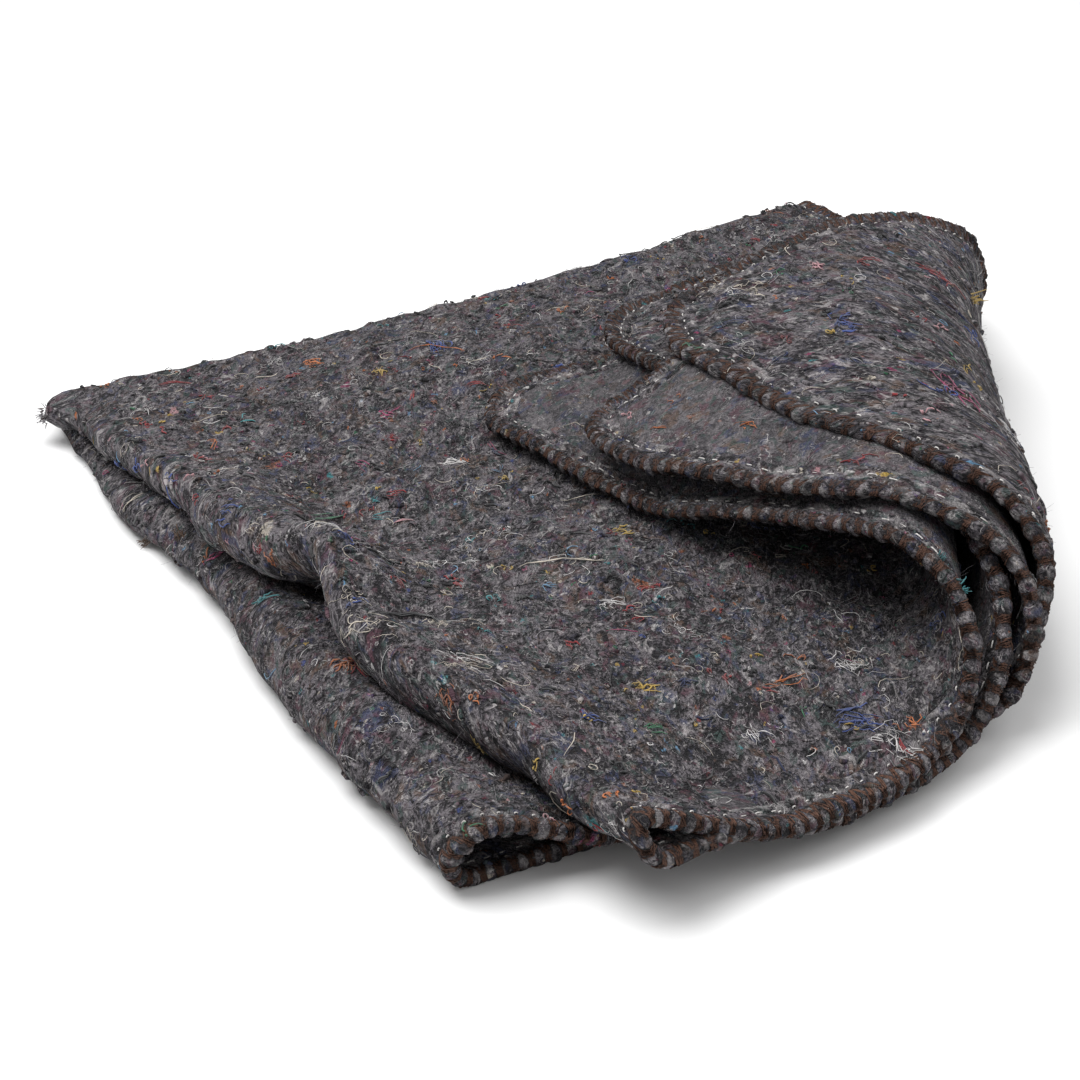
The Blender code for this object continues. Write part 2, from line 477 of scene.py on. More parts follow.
    def settling(self, place: Array, a: Array, b: Array) -> Array:
        """Add up the small pushes that handling has left in the cloth.

        Args:
            place: World positions before them.
            a: First flat-sheet coordinate.
            b: Second flat-sheet coordinate.

        Returns:
            The moves in world axes.
        """
        height = np.maximum(place[..., 2], 0.0) / self.nudge_height
        upright = np.stack((np.ones_like(height), np.ones_like(height), height), axis=-1)
        moved = np.zeros_like(place)
        across, along = (place[..., axis] + self.wave_lean[axis] * place[..., 2] for axis in range(2))
        for axis, wave in enumerate(self.waves):
            moved[..., axis] = self.wave_height[axis] * wave(across, along) * np.minimum(height, 1.0)
        for nudge in self.nudges:
            away = np.hypot(place[..., 0] - nudge.centre[0], place[..., 1] - nudge.centre[1])
            share = np.exp(-((away / self.nudge_reach) ** 2))
            moved = moved + share[..., None] * upright * np.array(nudge.move)
        for shift in self.shifts:
            u, v = (a - shift.centre[0]) / shift.reach[0], (b - shift.centre[1]) / shift.reach[1]
            moved = moved + np.exp(-(u**2 + v**2))[..., None] * np.array(shift.move)
        return moved

    def frames(self, a: Array, b: Array, step: float = 4e-4) -> tuple[Array, Array]:
        """Fold points of the flat sheet and find the cloth's normals there.

        Args:
            a: First flat-sheet coordinate.
            b: Second flat-sheet coordinate.
            step: Distance over which the slope is taken.

        Returns:
            World positions and unit normals, which point out of the rough face.
        """
        along_a = self.points(a + step, b) - self.points(a - step, b)
        along_b = self.points(a, b + step) - self.points(a, b - step)
        return self.points(a, b), unit(np.cross(along_a, along_b))

    def perimeter_length(self, inset: float) -> float:
        """Length of a line round the sheet.

        Args:
            inset: Distance of the line from the edge.

        Returns:
            The length, round the rounded corners.
        """
        radius = self.corner_radius - inset
        return 4.0 * (self.side - 2.0 * self.corner_radius) + 2.0 * math.pi * radius

    def perimeter(self, share: Array, inset: Array) -> tuple[Array, Array]:
        """Walk round the sheet's edge.

        Args:
            share: Way round, from 0 to 1, at even steps of the edge itself.
            inset: Distance inside the edge.

        Returns:
            The flat-sheet coordinates a and b.
        """
        straight = self.side - 2.0 * self.corner_radius
        bend = 0.5 * math.pi * self.corner_radius
        quarter = straight + bend
        way = np.mod(share, 1.0) * 4.0 * quarter
        number = np.minimum(np.floor(way / quarter), 3.0)
        rest = way - number * quarter
        angle = np.clip((rest - straight) / self.corner_radius, 0.0, 0.5 * math.pi)
        flat = np.minimum(rest, straight) - 0.5 * straight
        out = 0.5 * straight + (self.corner_radius - inset) * np.cos(angle)
        on = flat + (self.corner_radius - inset) * np.sin(angle)
        turn = number * 0.5 * math.pi
        return out * np.cos(turn) - on * np.sin(turn), out * np.sin(turn) + on * np.cos(turn)


def place_on_face(a: Array, b: Array, sign: Array | float) -> Array:
    """Flat-sheet coordinates as the materials read them.

    Args:
        a: First flat-sheet coordinate.
        b: Second flat-sheet coordinate.
        sign: Sign of the face, so that the two look different.

    Returns:
        The coordinates, with the face as the third.
    """
    return np.stack(np.broadcast_arrays(a, b, FACE_APART * sign), axis=-1)


def add_mesh(
    name: str, points: Array, faces: list[list[int]], finish: bpy.types.Material, **kept: Array
) -> bpy.types.Object:
    """Make a smooth-shaded mesh object, with nothing of it under the floor.

    Args:
        name: Name of the piece.
        points: World positions.
        faces: Vertex numbers of each face.
        finish: Its material.
        kept: Vectors at each point that the material reads, each under the name of its attribute.

    Returns:
        The object.
    """
    level = np.maximum(points[..., 2:], 0.0)
    points = np.concatenate((points[..., :2], level), axis=-1)
    mesh = bpy.data.meshes.new(name)
    mesh.from_pydata(points.reshape(-1, 3).tolist(), [], faces)
    mesh.update()
    mesh.shade_smooth()
    for attribute, vectors in kept.items():
        layer = mesh.attributes.new(attribute, "FLOAT_VECTOR", "POINT")
        layer.data.foreach_set("vector", vectors.reshape(-1).astype(np.float32))
    mesh.materials.append(finish)
    piece = bpy.data.objects.new(name, mesh)
    bpy.context.scene.collection.objects.link(piece)
    return piece


def tube_faces(paths: int, rings: int, sides: int, closed: bool = False) -> list[list[int]]:
    """List the faces of many tubes of one kind.

    Args:
        paths: Number of tubes.
        rings: Rings in each tube.
        sides: Points in each ring.
        closed: Whether each tube runs back into its own start.

    Returns:
        Vertex numbers of each face, with a cap at both ends of an open tube.
    """
    number = np.arange(paths * rings * sides).reshape(paths, rings, sides)
    here = number if closed else number[:, :-1]
    there = np.roll(number, -1, axis=1) if closed else number[:, 1:]
    quads = np.stack((here, np.roll(here, -1, axis=2), np.roll(there, -1, axis=2), there), axis=-1)
    faces = quads.reshape(-1, 4).tolist()
    if not closed:
        faces += number[:, 0, ::-1].tolist()
        faces += number[:, -1].tolist()
    return faces


def tube_points(centres: Array, ups: Array, radii: Array, sides: int) -> Array:
    """Lay rings of points round many lines.

    Args:
        centres: Points of each line, as paths by rings by 3.
        ups: Directions that are roughly square to the lines.
        radii: Radius at each ring.
        sides: Points in each ring.

    Returns:
        The points, as paths by rings by sides by 3.
    """
    ahead = unit(np.gradient(centres, axis=1))
    sideways = unit(np.cross(ahead, ups))
    above = np.cross(sideways, ahead)
    angle = np.arange(sides) * 2.0 * math.pi / sides
    ring = sideways[:, :, None] * np.cos(angle)[:, None] + above[:, :, None] * np.sin(angle)[:, None]
    return centres[:, :, None] + ring * radii[:, :, None, None]


def add_tubes(
    name: str, centres: Array, ups: Array, radii: Array, sides: int, cloth: Array, finish: bpy.types.Material
) -> bpy.types.Object:
    """Make many capped tubes of one kind as one piece.

    Args:
        name: Name of the piece.
        centres: Points of each line, as paths by rings by 3.
        ups: Directions that are roughly square to the lines.
        radii: Radius at each ring.
        sides: Points in each ring.
        cloth: Flat-sheet coordinates of each ring.
        finish: Its material.

    Returns:
        The object.
    """
    resting = np.maximum(centres[..., 2], radii)
    centres = np.concatenate((centres[..., :2], resting[..., None]), axis=-1)
    points = tube_points(centres, ups, radii, sides)
    faces = tube_faces(*centres.shape[:2], sides)
    return add_mesh(name, points, faces, finish, cloth=np.broadcast_to(cloth[:, :, None], points.shape))


class NodeGraph:
    """Short-hand for building one material from nodes."""

    def __init__(self, name: str) -> None:
        """Start a material that holds one Principled shader."""
        self.material = bpy.data.materials.new(name)
        self.material.use_nodes = True
        self.tree = self.material.node_tree
        self.shader = self.tree.nodes["Principled BSDF"]

    def add(self, kind: str, **settings: object) -> bpy.types.Node:
        """Add a node.

        Args:
            kind: Type of the node.
            settings: Its properties.

        Returns:
            The node.
        """
        node = self.tree.nodes.new(kind)
        for name, value in settings.items():
            setattr(node, name, value)
        return node

    def feed(self, socket: Socket, value: object) -> None:
        """Join a socket to another, or set its value.

        Args:
            socket: The input to fill.
            value: An output socket, or a plain value.
        """
        if isinstance(value, bpy.types.NodeSocket):
            self.tree.links.new(value, socket)
        else:
            socket.default_value = value

    def maths(self, operation: str, first: object, second: object = 0.0) -> Socket:
        """Work out a number.

        Args:
            operation: Name of the Math node's operation.
            first: First input.
            second: Second input.

        Returns:
            The result.
        """
        node = self.add("ShaderNodeMath", operation=operation)
        self.feed(node.inputs[0], first)
        self.feed(node.inputs[1], second)
        return node.outputs[0]

    def times(self, first: object, second: object) -> Socket:
        """Multiply two numbers."""
        return self.maths("MULTIPLY", first, second)

    def plus(self, first: object, second: object) -> Socket:
        """Add two numbers."""
        return self.maths("ADD", first, second)

    def minus(self, first: object, second: object) -> Socket:
        """Take the second number from the first."""
        return self.maths("SUBTRACT", first, second)

    def noise(self, place: Socket, scale: float, detail: float = 2.0, warp: float = 0.0) -> Socket:
        """Cloudy noise of about 0 to 1.

        Args:
            place: Where the noise is read.
            scale: Cells in a metre.
            detail: Number of finer layers.
            warp: How far the noise is drawn out of shape.

        Returns:
            The noise.
        """
        node = self.add("ShaderNodeTexNoise", noise_dimensions="3D")
        for name, value in (("Vector", place), ("Scale", scale), ("Detail", detail), ("Distortion", warp)):
            self.feed(node.inputs[name], value)
        return node.outputs[0]

    def stretched(self, place: Socket, size: Triple, turn: float) -> Socket:
        """Turn and stretch a place, so that noise read there is drawn out one way.

        Args:
            place: The place.
            size: Size of one cell along each turned axis.
            turn: Turn about the sheet's normal.

        Returns:
            The new place.
        """
        node = self.add("ShaderNodeMapping", vector_type="TEXTURE")
        self.feed(node.inputs["Vector"], place)
        node.inputs["Rotation"].default_value = (0.0, 0.0, turn)
        node.inputs["Scale"].default_value = size
        return node.outputs[0]

    def moved(self, place: Socket, step: Triple) -> Socket:
        """Move a place, so that noise read there is another one.

        Args:
            place: The place.
            step: The move.

        Returns:
            The new place.
        """
        node = self.add("ShaderNodeVectorMath", operation="ADD")
        self.feed(node.inputs[0], place)
        node.inputs[1].default_value = step
        return node.outputs[0]

    def between(self, value: object, low: float, high: float, to: Pair = (0.0, 1.0)) -> Socket:
        """Map a range to another with soft ends.

        Args:
            value: The input.
            low: Value that gives the first end.
            high: Value that gives the second end.
            to: The two ends.

        Returns:
            The result.
        """
        node = self.add("ShaderNodeMapRange", interpolation_type="SMOOTHSTEP")
        for number, part in enumerate((value, low, high, *to)):
            self.feed(node.inputs[number], part)
        return node.outputs[0]

    def blend(self, share: object, first: object, second: object) -> Socket:
        """Mix two colours.

        Args:
            share: How much of the second.
            first: First colour.
            second: Second colour.

        Returns:
            The colour.
        """
        node = self.add("ShaderNodeMix", data_type="RGBA", blend_type="MIX")
        for name, value in (("Factor", share), ("A", first), ("B", second)):
            self.feed(node.inputs[name], value)
        return node.outputs["Result"]

    def kept(self, name: str) -> Socket:
        """Vector kept on the mesh under a name."""
        return self.add("ShaderNodeAttribute", attribute_name=name).outputs["Vector"]

    def parts(self, vector: Socket, kind: str = "ShaderNodeSeparateXYZ") -> list[Socket]:
        """Split a vector or a colour.

        Args:
            vector: What is split.
            kind: Type of the node.

        Returns:
            The three parts.
        """
        node = self.add(kind)
        self.feed(node.inputs[0], vector)
        return list(node.outputs)

    def finish(
        self, colour: Socket, roughness: float, height: Socket, depth: float, sheen: float
    ) -> bpy.types.Material:
        """Fill the shader.

        Args:
            colour: Base colour.
            roughness: Roughness.
            height: Bump height.
            depth: Depth of the bump in metres.
            sheen: Weight of the soft sheen of fibres.

        Returns:
            The material.
        """
        bump = self.add("ShaderNodeBump")
        bump.inputs["Distance"].default_value = depth
        self.feed(bump.inputs["Height"], height)
        values = {
            "Base Color": colour,
            "Roughness": roughness,
            "Specular IOR Level": 0.2,
            "Sheen Weight": sheen,
            "Sheen Roughness": 0.6,
            "Normal": bump.outputs[0],
        }
        for name, value in values.items():
            self.feed(self.shader.inputs[name], value)
        return self.material


@dataclass(frozen=True)
class FeltFinish:
    """Mottled dark grey felt of shredded textile fibres, with shreds and hairs of every colour.

    A pattern's size is given as cells in a metre. The hollows, sunk in the bump and darkened with painted
    shade, and the tufts are given by the turn, length and width of their cells, the hairs by cells, half
    width as a share of the noise, strength and colour, and the shreds by cells, the share of the cells that
    hold one, and strength.
    """

    # Near-black: painted shade in the felt's hollows and beside the yarn, and also random dark patches on
    # the rim.
    shade_and_dark_patch: Colour = (0.007, 0.006, 0.008, 1.0)
    dark: Colour = (0.023, 0.020, 0.026, 1.0)
    pale: Colour = (0.164, 0.148, 0.161, 1.0)
    calm_dark: Colour = (0.060, 0.055, 0.061, 1.0)
    calm_pale: Colour = (0.150, 0.138, 0.147, 1.0)
    hair: Colour = (0.50, 0.47, 0.47, 1.0)
    soot: Colour = (0.009, 0.009, 0.011, 1.0)
    tints: tuple[Colour, ...] = (
        (0.118, 0.068, 0.044, 1.0),
        (0.032, 0.044, 0.104, 1.0),
        (0.104, 0.043, 0.060, 1.0),
        (0.040, 0.074, 0.066, 1.0),
    )
    tint_share: float = 0.66
    roughness: float = 0.95
    depth: float = 0.0085
    calm: float = 0.30
    lay: float = 1.02
    lay_stretch: float = 1.6
    sheen: float = 0.04
    wide_size: float = 34.0
    cloud_size: float = 115.0
    knot_size: float = 330.0
    grain_size: float = 1150.0
    shaded_pits: tuple[Triple, ...] = ((1.1, 0.0068, 0.0034), (0.3, 0.0058, 0.0040), (0.8, 0.0105, 0.0060))
    hairs: tuple[tuple[float, float, float, Colour], ...] = (
        (170.0, 0.012, 0.70, hair),
        (260.0, 0.016, 0.60, hair),
        (150.0, 0.010, 0.80, soot),
        (300.0, 0.020, 0.65, soot),
    )
    shreds: tuple[Triple, ...] = ((88.0, 0.050, 0.80), (215.0, 0.120, 0.90), (480.0, 0.150, 0.70))

    def material(self) -> bpy.types.Material:
        """Build the felt."""
        graph = NodeGraph("recycled_felt")
        return graph.finish(*self.surface(graph), self.depth, self.sheen)

    def rim_material(self, yarn: "YarnFinish") -> bpy.types.Material:
        """Build the felt of the rim, with the finest filaments of the yarn lying on it and painted shade on
        the felt beside each strand.

        Args:
            yarn: The yarn's finish.

        Returns:
            The material.
        """
        graph = NodeGraph("overlocked_felt")
        colour, roughness, height = self.surface(graph)
        place = graph.kept("cloth")
        distance, shown, _ = graph.parts(graph.kept("strand"))
        ragged = graph.noise(place, 900.0, 2.0)
        worn = graph.noise(place, 150.0, 2.0, 0.4)
        colour = graph.blend(graph.between(worn, 0.53, 0.68, (0.0, 0.40)), colour, self.hair)
        colour = graph.blend(graph.between(worn, 0.47, 0.34, (0.0, 0.60)), colour, self.shade_and_dark_patch)
        away = graph.minus(distance, graph.times(ragged, 0.0018))
        # Painted shade: the felt is darkened close to each shown strand of yarn, as if shaded by it.
        dark = graph.times(graph.between(away, 0.0011, 0.0), shown)
        colour = graph.blend(graph.times(dark, 0.75), colour, self.shade_and_dark_patch)
        cover = graph.times(graph.between(away, 0.0002, -0.0005), shown)
        cover = graph.times(cover, graph.between(graph.noise(place, 45.0, 2.0), 0.36, 0.54))
        brown = graph.blend(graph.between(ragged, 0.35, 0.65), yarn.deep, yarn.full)
        colour = graph.blend(graph.times(cover, 0.9), colour, brown)
        return graph.finish(colour, roughness, height, self.depth, self.sheen)

    def surface(self, graph: NodeGraph) -> tuple[Socket, float, Socket]:
        """Work out the felt's look.

        Args:
            graph: The material being built.

        Returns:
            The colour, the roughness and the bump height.
        """
        flat = graph.kept("cloth")
        rough = graph.between(graph.parts(flat)[2], -0.4 * FACE_APART, 0.0, (self.calm, 1.0))
        place = graph.stretched(flat, (self.lay_stretch, 1.0, 1.0), self.lay)
        mixed = self.mottle(graph, place)
        colour = graph.blend(graph.between(mixed, 0.45, 0.645), self.dark, self.pale)
        # Painted shade: the lowest parts of the mottle on the rough face, which are also the lowest bumps,
        # go near-black.
        colour = graph.blend(graph.times(graph.between(mixed, 0.515, 0.41), rough), colour, self.shade_and_dark_patch)
        plain = graph.blend(graph.between(mixed, 0.40, 0.66), self.calm_dark, self.calm_pale)
        colour = self.tinted(graph, place, graph.blend(rough, plain, colour))
        for scale, density, strength in self.shreds:
            colour = self.with_shreds(graph, place, colour, scale, density, graph.times(rough, strength))
        height = mixed
        # Stretched hollow cells, sunk in the bump and darkened with painted shade; the high ends of the same
        # cells are pale tufts.
        for number, (turn, long, wide) in enumerate(self.shaded_pits):
            cell = (long, wide, 0.01 + 0.002 * number)
            hollow = graph.noise(graph.stretched(flat, cell, turn), 1.0, 2.0, 1.3)
            share = graph.times(graph.between(hollow, 0.405, 0.32), rough)
            colour = graph.blend(graph.times(share, 0.90), colour, self.shade_and_dark_patch)
            height = graph.minus(height, graph.times(share, 0.12))
            tuft = graph.times(graph.between(hollow, 0.62, 0.73), rough)
            colour = graph.blend(graph.times(tuft, 0.55), colour, self.hair)
            height = graph.plus(height, graph.times(tuft, 0.10))
        for number, (scale, width, share, dye) in enumerate(self.hairs):
            line = self.hair_lines(graph, place, number, scale, width)
            colour = graph.blend(graph.times(line, share), colour, dye)
            height = graph.plus(height, graph.times(line, 0.06))
        return colour, self.roughness, height

    def mottle(self, graph: NodeGraph, place: Socket) -> Socket:
        """Mix clouds, knots and grain.

        Args:
            graph: The material being built.
            place: Flat-sheet coordinates.

        Returns:
            The mottling, of about 0.4 to 0.65.
        """
        clouds = graph.noise(place, self.cloud_size, 2.0, 0.6)
        knots = graph.noise(place, self.knot_size, 2.0, 0.9)
        grain = graph.noise(place, self.grain_size, 2.0, 0.5)
        wide = graph.noise(place, self.wide_size, 2.0, 0.5)
        mixed = graph.plus(graph.times(clouds, 0.42), graph.times(knots, 0.36))
        mixed = graph.plus(mixed, graph.times(graph.minus(grain, 0.17), 0.45))
        return graph.plus(mixed, graph.times(graph.minus(wide, 0.5), 0.22))

    @staticmethod
    def hair_lines(graph: NodeGraph, place: Socket, number: int, scale: float, width: float) -> Socket:
        """Draw fine curled hairs: broken level lines of a noise.

        Args:
            graph: The material being built.
            place: Flat-sheet coordinates.
            number: Number of the layer, which sets it apart from the others.
            scale: Cells in a metre.
            width: Half the width of the lines, as a share of the noise.

        Returns:
            1 on a hair and 0 off it.
        """
        place = graph.moved(place, (3.1 * number, 1.7 * number, 0.9 * number))
        away = graph.maths("ABSOLUTE", graph.minus(graph.noise(place, scale, 1.0, 1.1), 0.5))
        line = graph.between(away, width, 0.35 * width)
        return graph.times(line, graph.between(graph.noise(place, 0.9 * scale, 1.0, 0.2), 0.52, 0.58))

    def tinted(self, graph: NodeGraph, place: Socket, colour: Socket) -> Socket:
        """Tint soft patches of the felt.

        Args:
            graph: The material being built.
            place: Flat-sheet coordinates.
            colour: Colour so far.

        Returns:
            The tinted colour.
        """
        for number, tint in enumerate(self.tints):
            moved = graph.moved(place, (-2.3 * number, 4.1 * number, 2.7))
            patch = graph.noise(moved, 95.0 + 22.0 * number, 3.0, 1.2)
            colour = graph.blend(graph.between(patch, 0.55, 0.68, (0.0, self.tint_share)), colour, tint)
        return colour

    @staticmethod
    def with_shreds(
        graph: NodeGraph, place: Socket, colour: Socket, scale: float, density: float, share: Socket
    ) -> Socket:
        """Scatter small ragged coloured shreds.

        Args:
            graph: The material being built.
            place: Flat-sheet coordinates.
            colour: Colour so far.
            scale: Cells in a metre.
            density: Share of the cells that hold a shred.
            share: Strength of the colour.

        Returns:
            The colour with the shreds.
        """
        bend = graph.add("ShaderNodeTexNoise")
        graph.feed(bend.inputs["Vector"], place)
        bend.inputs["Scale"].default_value = 1.6 * scale
        push = graph.add("ShaderNodeVectorMath", operation="MULTIPLY_ADD")
        graph.feed(push.inputs[0], bend.outputs["Color"])
        push.inputs[1].default_value = (1.5 / scale, 1.5 / scale, 0.0)
        graph.feed(push.inputs[2], place)
        cells = graph.add("ShaderNodeTexVoronoi", feature="F1")
        graph.feed(cells.inputs["Vector"], push.outputs[0])
        cells.inputs["Scale"].default_value = scale
        pick, hue, size = graph.parts(cells.outputs["Color"], "ShaderNodeSeparateColor")
        chosen = graph.maths("LESS_THAN", pick, density)
        size = graph.between(size, 0.0, 1.0, (0.16, 0.46))
        near = graph.between(graph.minus(size, cells.outputs["Distance"]), 0.0, 0.14)
        ramp = graph.add("ShaderNodeValToRGB")
        ramp.color_ramp.interpolation = "CONSTANT"
        stops = ramp.color_ramp.elements
        while len(stops) < len(Shade):
            stops.new(0.5)
        for number, shade in enumerate(Shade):
            stops[number].position = number / len(Shade)
            stops[number].color = (*shade.value, 1.0)
        graph.feed(ramp.inputs[0], hue)
        return graph.blend(graph.times(graph.times(near, chosen), share), colour, ramp.outputs[0])


class Shade(Enum):
    """Colours of the shredded fibres, as linear colours."""

    CREAM = (0.56, 0.50, 0.42)
    WHITE = (0.60, 0.58, 0.575)
    RED = (0.21, 0.018, 0.022)
    BLACK = (0.008, 0.008, 0.010)
    ROYAL = (0.032, 0.056, 0.20)
    ASH = (0.30, 0.28, 0.30)
    RUST = (0.26, 0.085, 0.035)
    NAVY = (0.015, 0.022, 0.065)
    MAGENTA = (0.26, 0.030, 0.10)
    ORANGE = (0.43, 0.13, 0.038)
    TEAL = (0.04, 0.20, 0.22)
    WINE = (0.12, 0.012, 0.028)
    GREEN = (0.025, 0.13, 0.06)
    SKY = (0.13, 0.28, 0.44)
    OCHRE = (0.40, 0.27, 0.06)
    PINK = (0.44, 0.24, 0.26)
    BROWN = (0.085, 0.048, 0.030)
    VIOLET = (0.10, 0.05, 0.15)


@dataclass(frozen=True)
class FibreFinish:
    """Plain spun fibre of one colour, uneven along its length."""

    shade: Shade
    patch_size: float = 210.0
    grain_size: float = 3000.0
    dulled: Pair = (0.45, 0.03)
    roughness: float = 0.8
    depth: float = 0.0001
    sheen: float = 0.2

    def material(self) -> bpy.types.Material:
        """Build the fibre's material."""
        graph = NodeGraph(f"fibre_{self.shade.name.lower()}")
        place = graph.kept("cloth")
        patches = graph.noise(place, self.patch_size)
        full = (*self.shade.value, 1.0)
        dull = (*(self.dulled[0] * part + self.dulled[1] for part in self.shade.value), 1.0)
        colour = graph.blend(graph.between(patches, 0.35, 0.62), dull, full)
        grain = graph.noise(place, self.grain_size, 1.0)
        return graph.finish(colour, self.roughness, grain, self.depth, self.sheen)


@dataclass(frozen=True)
class YarnFinish:
    """Brown textured yarn of many fine filaments, or white sewing thread."""

    name: str
    deep: Colour
    full: Colour
    patch_size: float = 900.0
    wide_size: float = 40.0
    grain_size: float = 5200.0
    roughness: float = 0.55
    depth: float = 0.00012

    def material(self) -> bpy.types.Material:
        """Build the yarn's material."""
        graph = NodeGraph(self.name)
        place = graph.kept("cloth")
        patches = graph.noise(place, self.patch_size, 3.0)
        wide = graph.noise(place, self.wide_size)
        mixed = graph.plus(graph.times(patches, 0.65), graph.times(wide, 0.35))
        colour = graph.blend(graph.between(mixed, 0.36, 0.62), self.deep, self.full)
        return graph.finish(colour, self.roughness, graph.noise(place, self.grain_size), self.depth, 0.0)


@dataclass
class FeltSheet:
    """The felt itself: both faces of the folded sheet, joined a little inside the overlocked rim."""

    cloth: FoldedCloth
    name: str = "felt_cloth"
    inset: float = 0.003
    edge_thickness: float = 0.0024
    rim_width: float = 0.0118
    taper: float = 0.0050
    lines: int = 206
    loop_lines: int = 9
    edge_band: float = 0.024
    edge_lines: int = 9
    fold_arcs: Pair = (0.032, 0.030)
    corner_ease: float = 0.28
    rough_lumps: tuple[Relief, ...] = (Relief(11, 0.024, 2), Relief(23, 0.011, 1))
    smooth_lumps: tuple[Relief, ...] = (Relief(37, 0.028, 2), Relief(41, 0.012, 1))
    rough_height: float = 0.0013
    smooth_height: float = 0.0005

    def spread(self, fold: float, arc: float) -> Array:
        """Set out grid lines that are close together at a fold and at both edges.

        Args:
            fold: Where the fold lies.
            arc: Half the length that the fold bends.

        Returns:
            Positions of the lines across the sheet.
        """
        reach = 0.5 * self.cloth.side - self.inset
        inner = reach - self.edge_band
        rest = self.lines - 2 * (self.loop_lines + self.edge_lines)
        below = round(rest * (fold - arc + inner) / (2.0 * (inner - arc)))
        stops = (-reach, -inner, fold - arc, fold + arc, inner, reach)
        counts = (self.edge_lines, below, 2 * self.loop_lines, rest - below, self.edge_lines)
        runs = [np.linspace(lo, hi, n, endpoint=False) for lo, hi, n in zip(stops, stops[1:], counts)]
        return np.concatenate((*runs, [reach]))

    def grid(self) -> tuple[Array, Array, Array]:
        """Flat coordinates of the grid and the depth inside the edge.

        Returns:
            Coordinates a and b with the sheet's rounded corners, and the depth.
        """
        cloth = self.cloth
        folds = (cloth.first_fold_shift, cloth.second_fold_shift)
        a, b = np.meshgrid(*map(self.spread, folds, self.fold_arcs), indexing="ij")
        reach = 0.5 * cloth.side - self.inset
        radius = cloth.corner_radius - self.inset
        core = reach - radius
        u, v = np.abs(a) / reach, np.abs(b) / reach
        far = np.maximum(u, v)
        share = np.minimum(u, v) / np.maximum(far, 1e-9)
        bevel = self.rounded_reach(share, reach, radius)
        near_edge = smooth((far - 1.0 + self.corner_ease) / self.corner_ease)
        scale = np.where(far > 0.0, 1.0 + (bevel - 1.0) * near_edge, 1.0)
        a, b = a * scale, b * scale
        over_a = np.maximum(np.abs(a) - core, 0.0)
        over_b = np.maximum(np.abs(b) - core, 0.0)
        in_corner = (over_a > 0.0) & (over_b > 0.0)
        beside = reach - np.maximum(np.abs(a), np.abs(b))
        depth = np.where(in_corner, radius - np.hypot(over_a, over_b), beside)
        return a, b, np.maximum(depth, 0.0)

    @staticmethod
    def rounded_reach(share: Array, reach: float, radius: float) -> Array:
        """How far a rounded square reaches against a sharp one, along a ray from its middle.

        Args:
            share: Slope of the ray, from 0 along an axis to 1 through a corner.
            reach: Half the side.
            radius: Radius of the corners.

        Returns:
            The share of the sharp square's reach.
        """
        core = (reach - radius) / reach
        round_share = radius / reach
        square = share * share + 1.0
        middle = core * (1.0 + share)
        inside = np.maximum(middle * middle - square * (2.0 * core * core - round_share**2), 0.0)
        return np.where(share > core, (middle + np.sqrt(inside)) / square, 1.0)

    def half_thickness(self, a: Array, b: Array, inset: Array, face: Face) -> Array:
        """Height of one face over the middle of the cloth, with its lumps.

        Args:
            a: First flat-sheet coordinate.
            b: Second flat-sheet coordinate.
            inset: Distance inside the cloth's edge.
            face: Which face.

        Returns:
            The height.
        """
        share = smooth((inset - self.rim_width) / self.taper)
        half = 0.5 * (self.edge_thickness + (self.cloth.thickness - self.edge_thickness) * share)
        lumps, height = self.rough_lumps, self.rough_height
        if face is Face.SMOOTH:
            lumps, height = self.smooth_lumps, self.smooth_height
        return half + share * height * sum(lump(a, b) for lump in lumps)

    def build(self, finish: bpy.types.Material) -> bpy.types.Object:
        """Make the sheet.

        Args:
            finish: The felt's material.

        Returns:
            The piece.
        """
        a, b, depth = self.grid()
        middle, normal = self.cloth.frames(a, b)
        surfaces, places = [], []
        for face in Face:
            out = self.half_thickness(a, b, depth + self.inset, face) * (depth > 1e-7)
            surfaces.append(middle + normal * (face.value * out)[..., None])
            places.append(place_on_face(a, b, face.value))
        number = np.arange(a.size).reshape(a.shape)
        other = number.copy()
        other[1:-1, 1:-1] += a.size
        turned_over = grid_faces(other)[:, [0, 3, 2, 1]]
        used, index = np.unique(np.concatenate((grid_faces(number), turned_over)), return_inverse=True)
        points, cloth = (np.reshape(both, (-1, 3))[used] for both in (surfaces, places))
        return add_mesh(self.name, points, index.reshape(-1, 4).tolist(), finish, cloth=cloth)


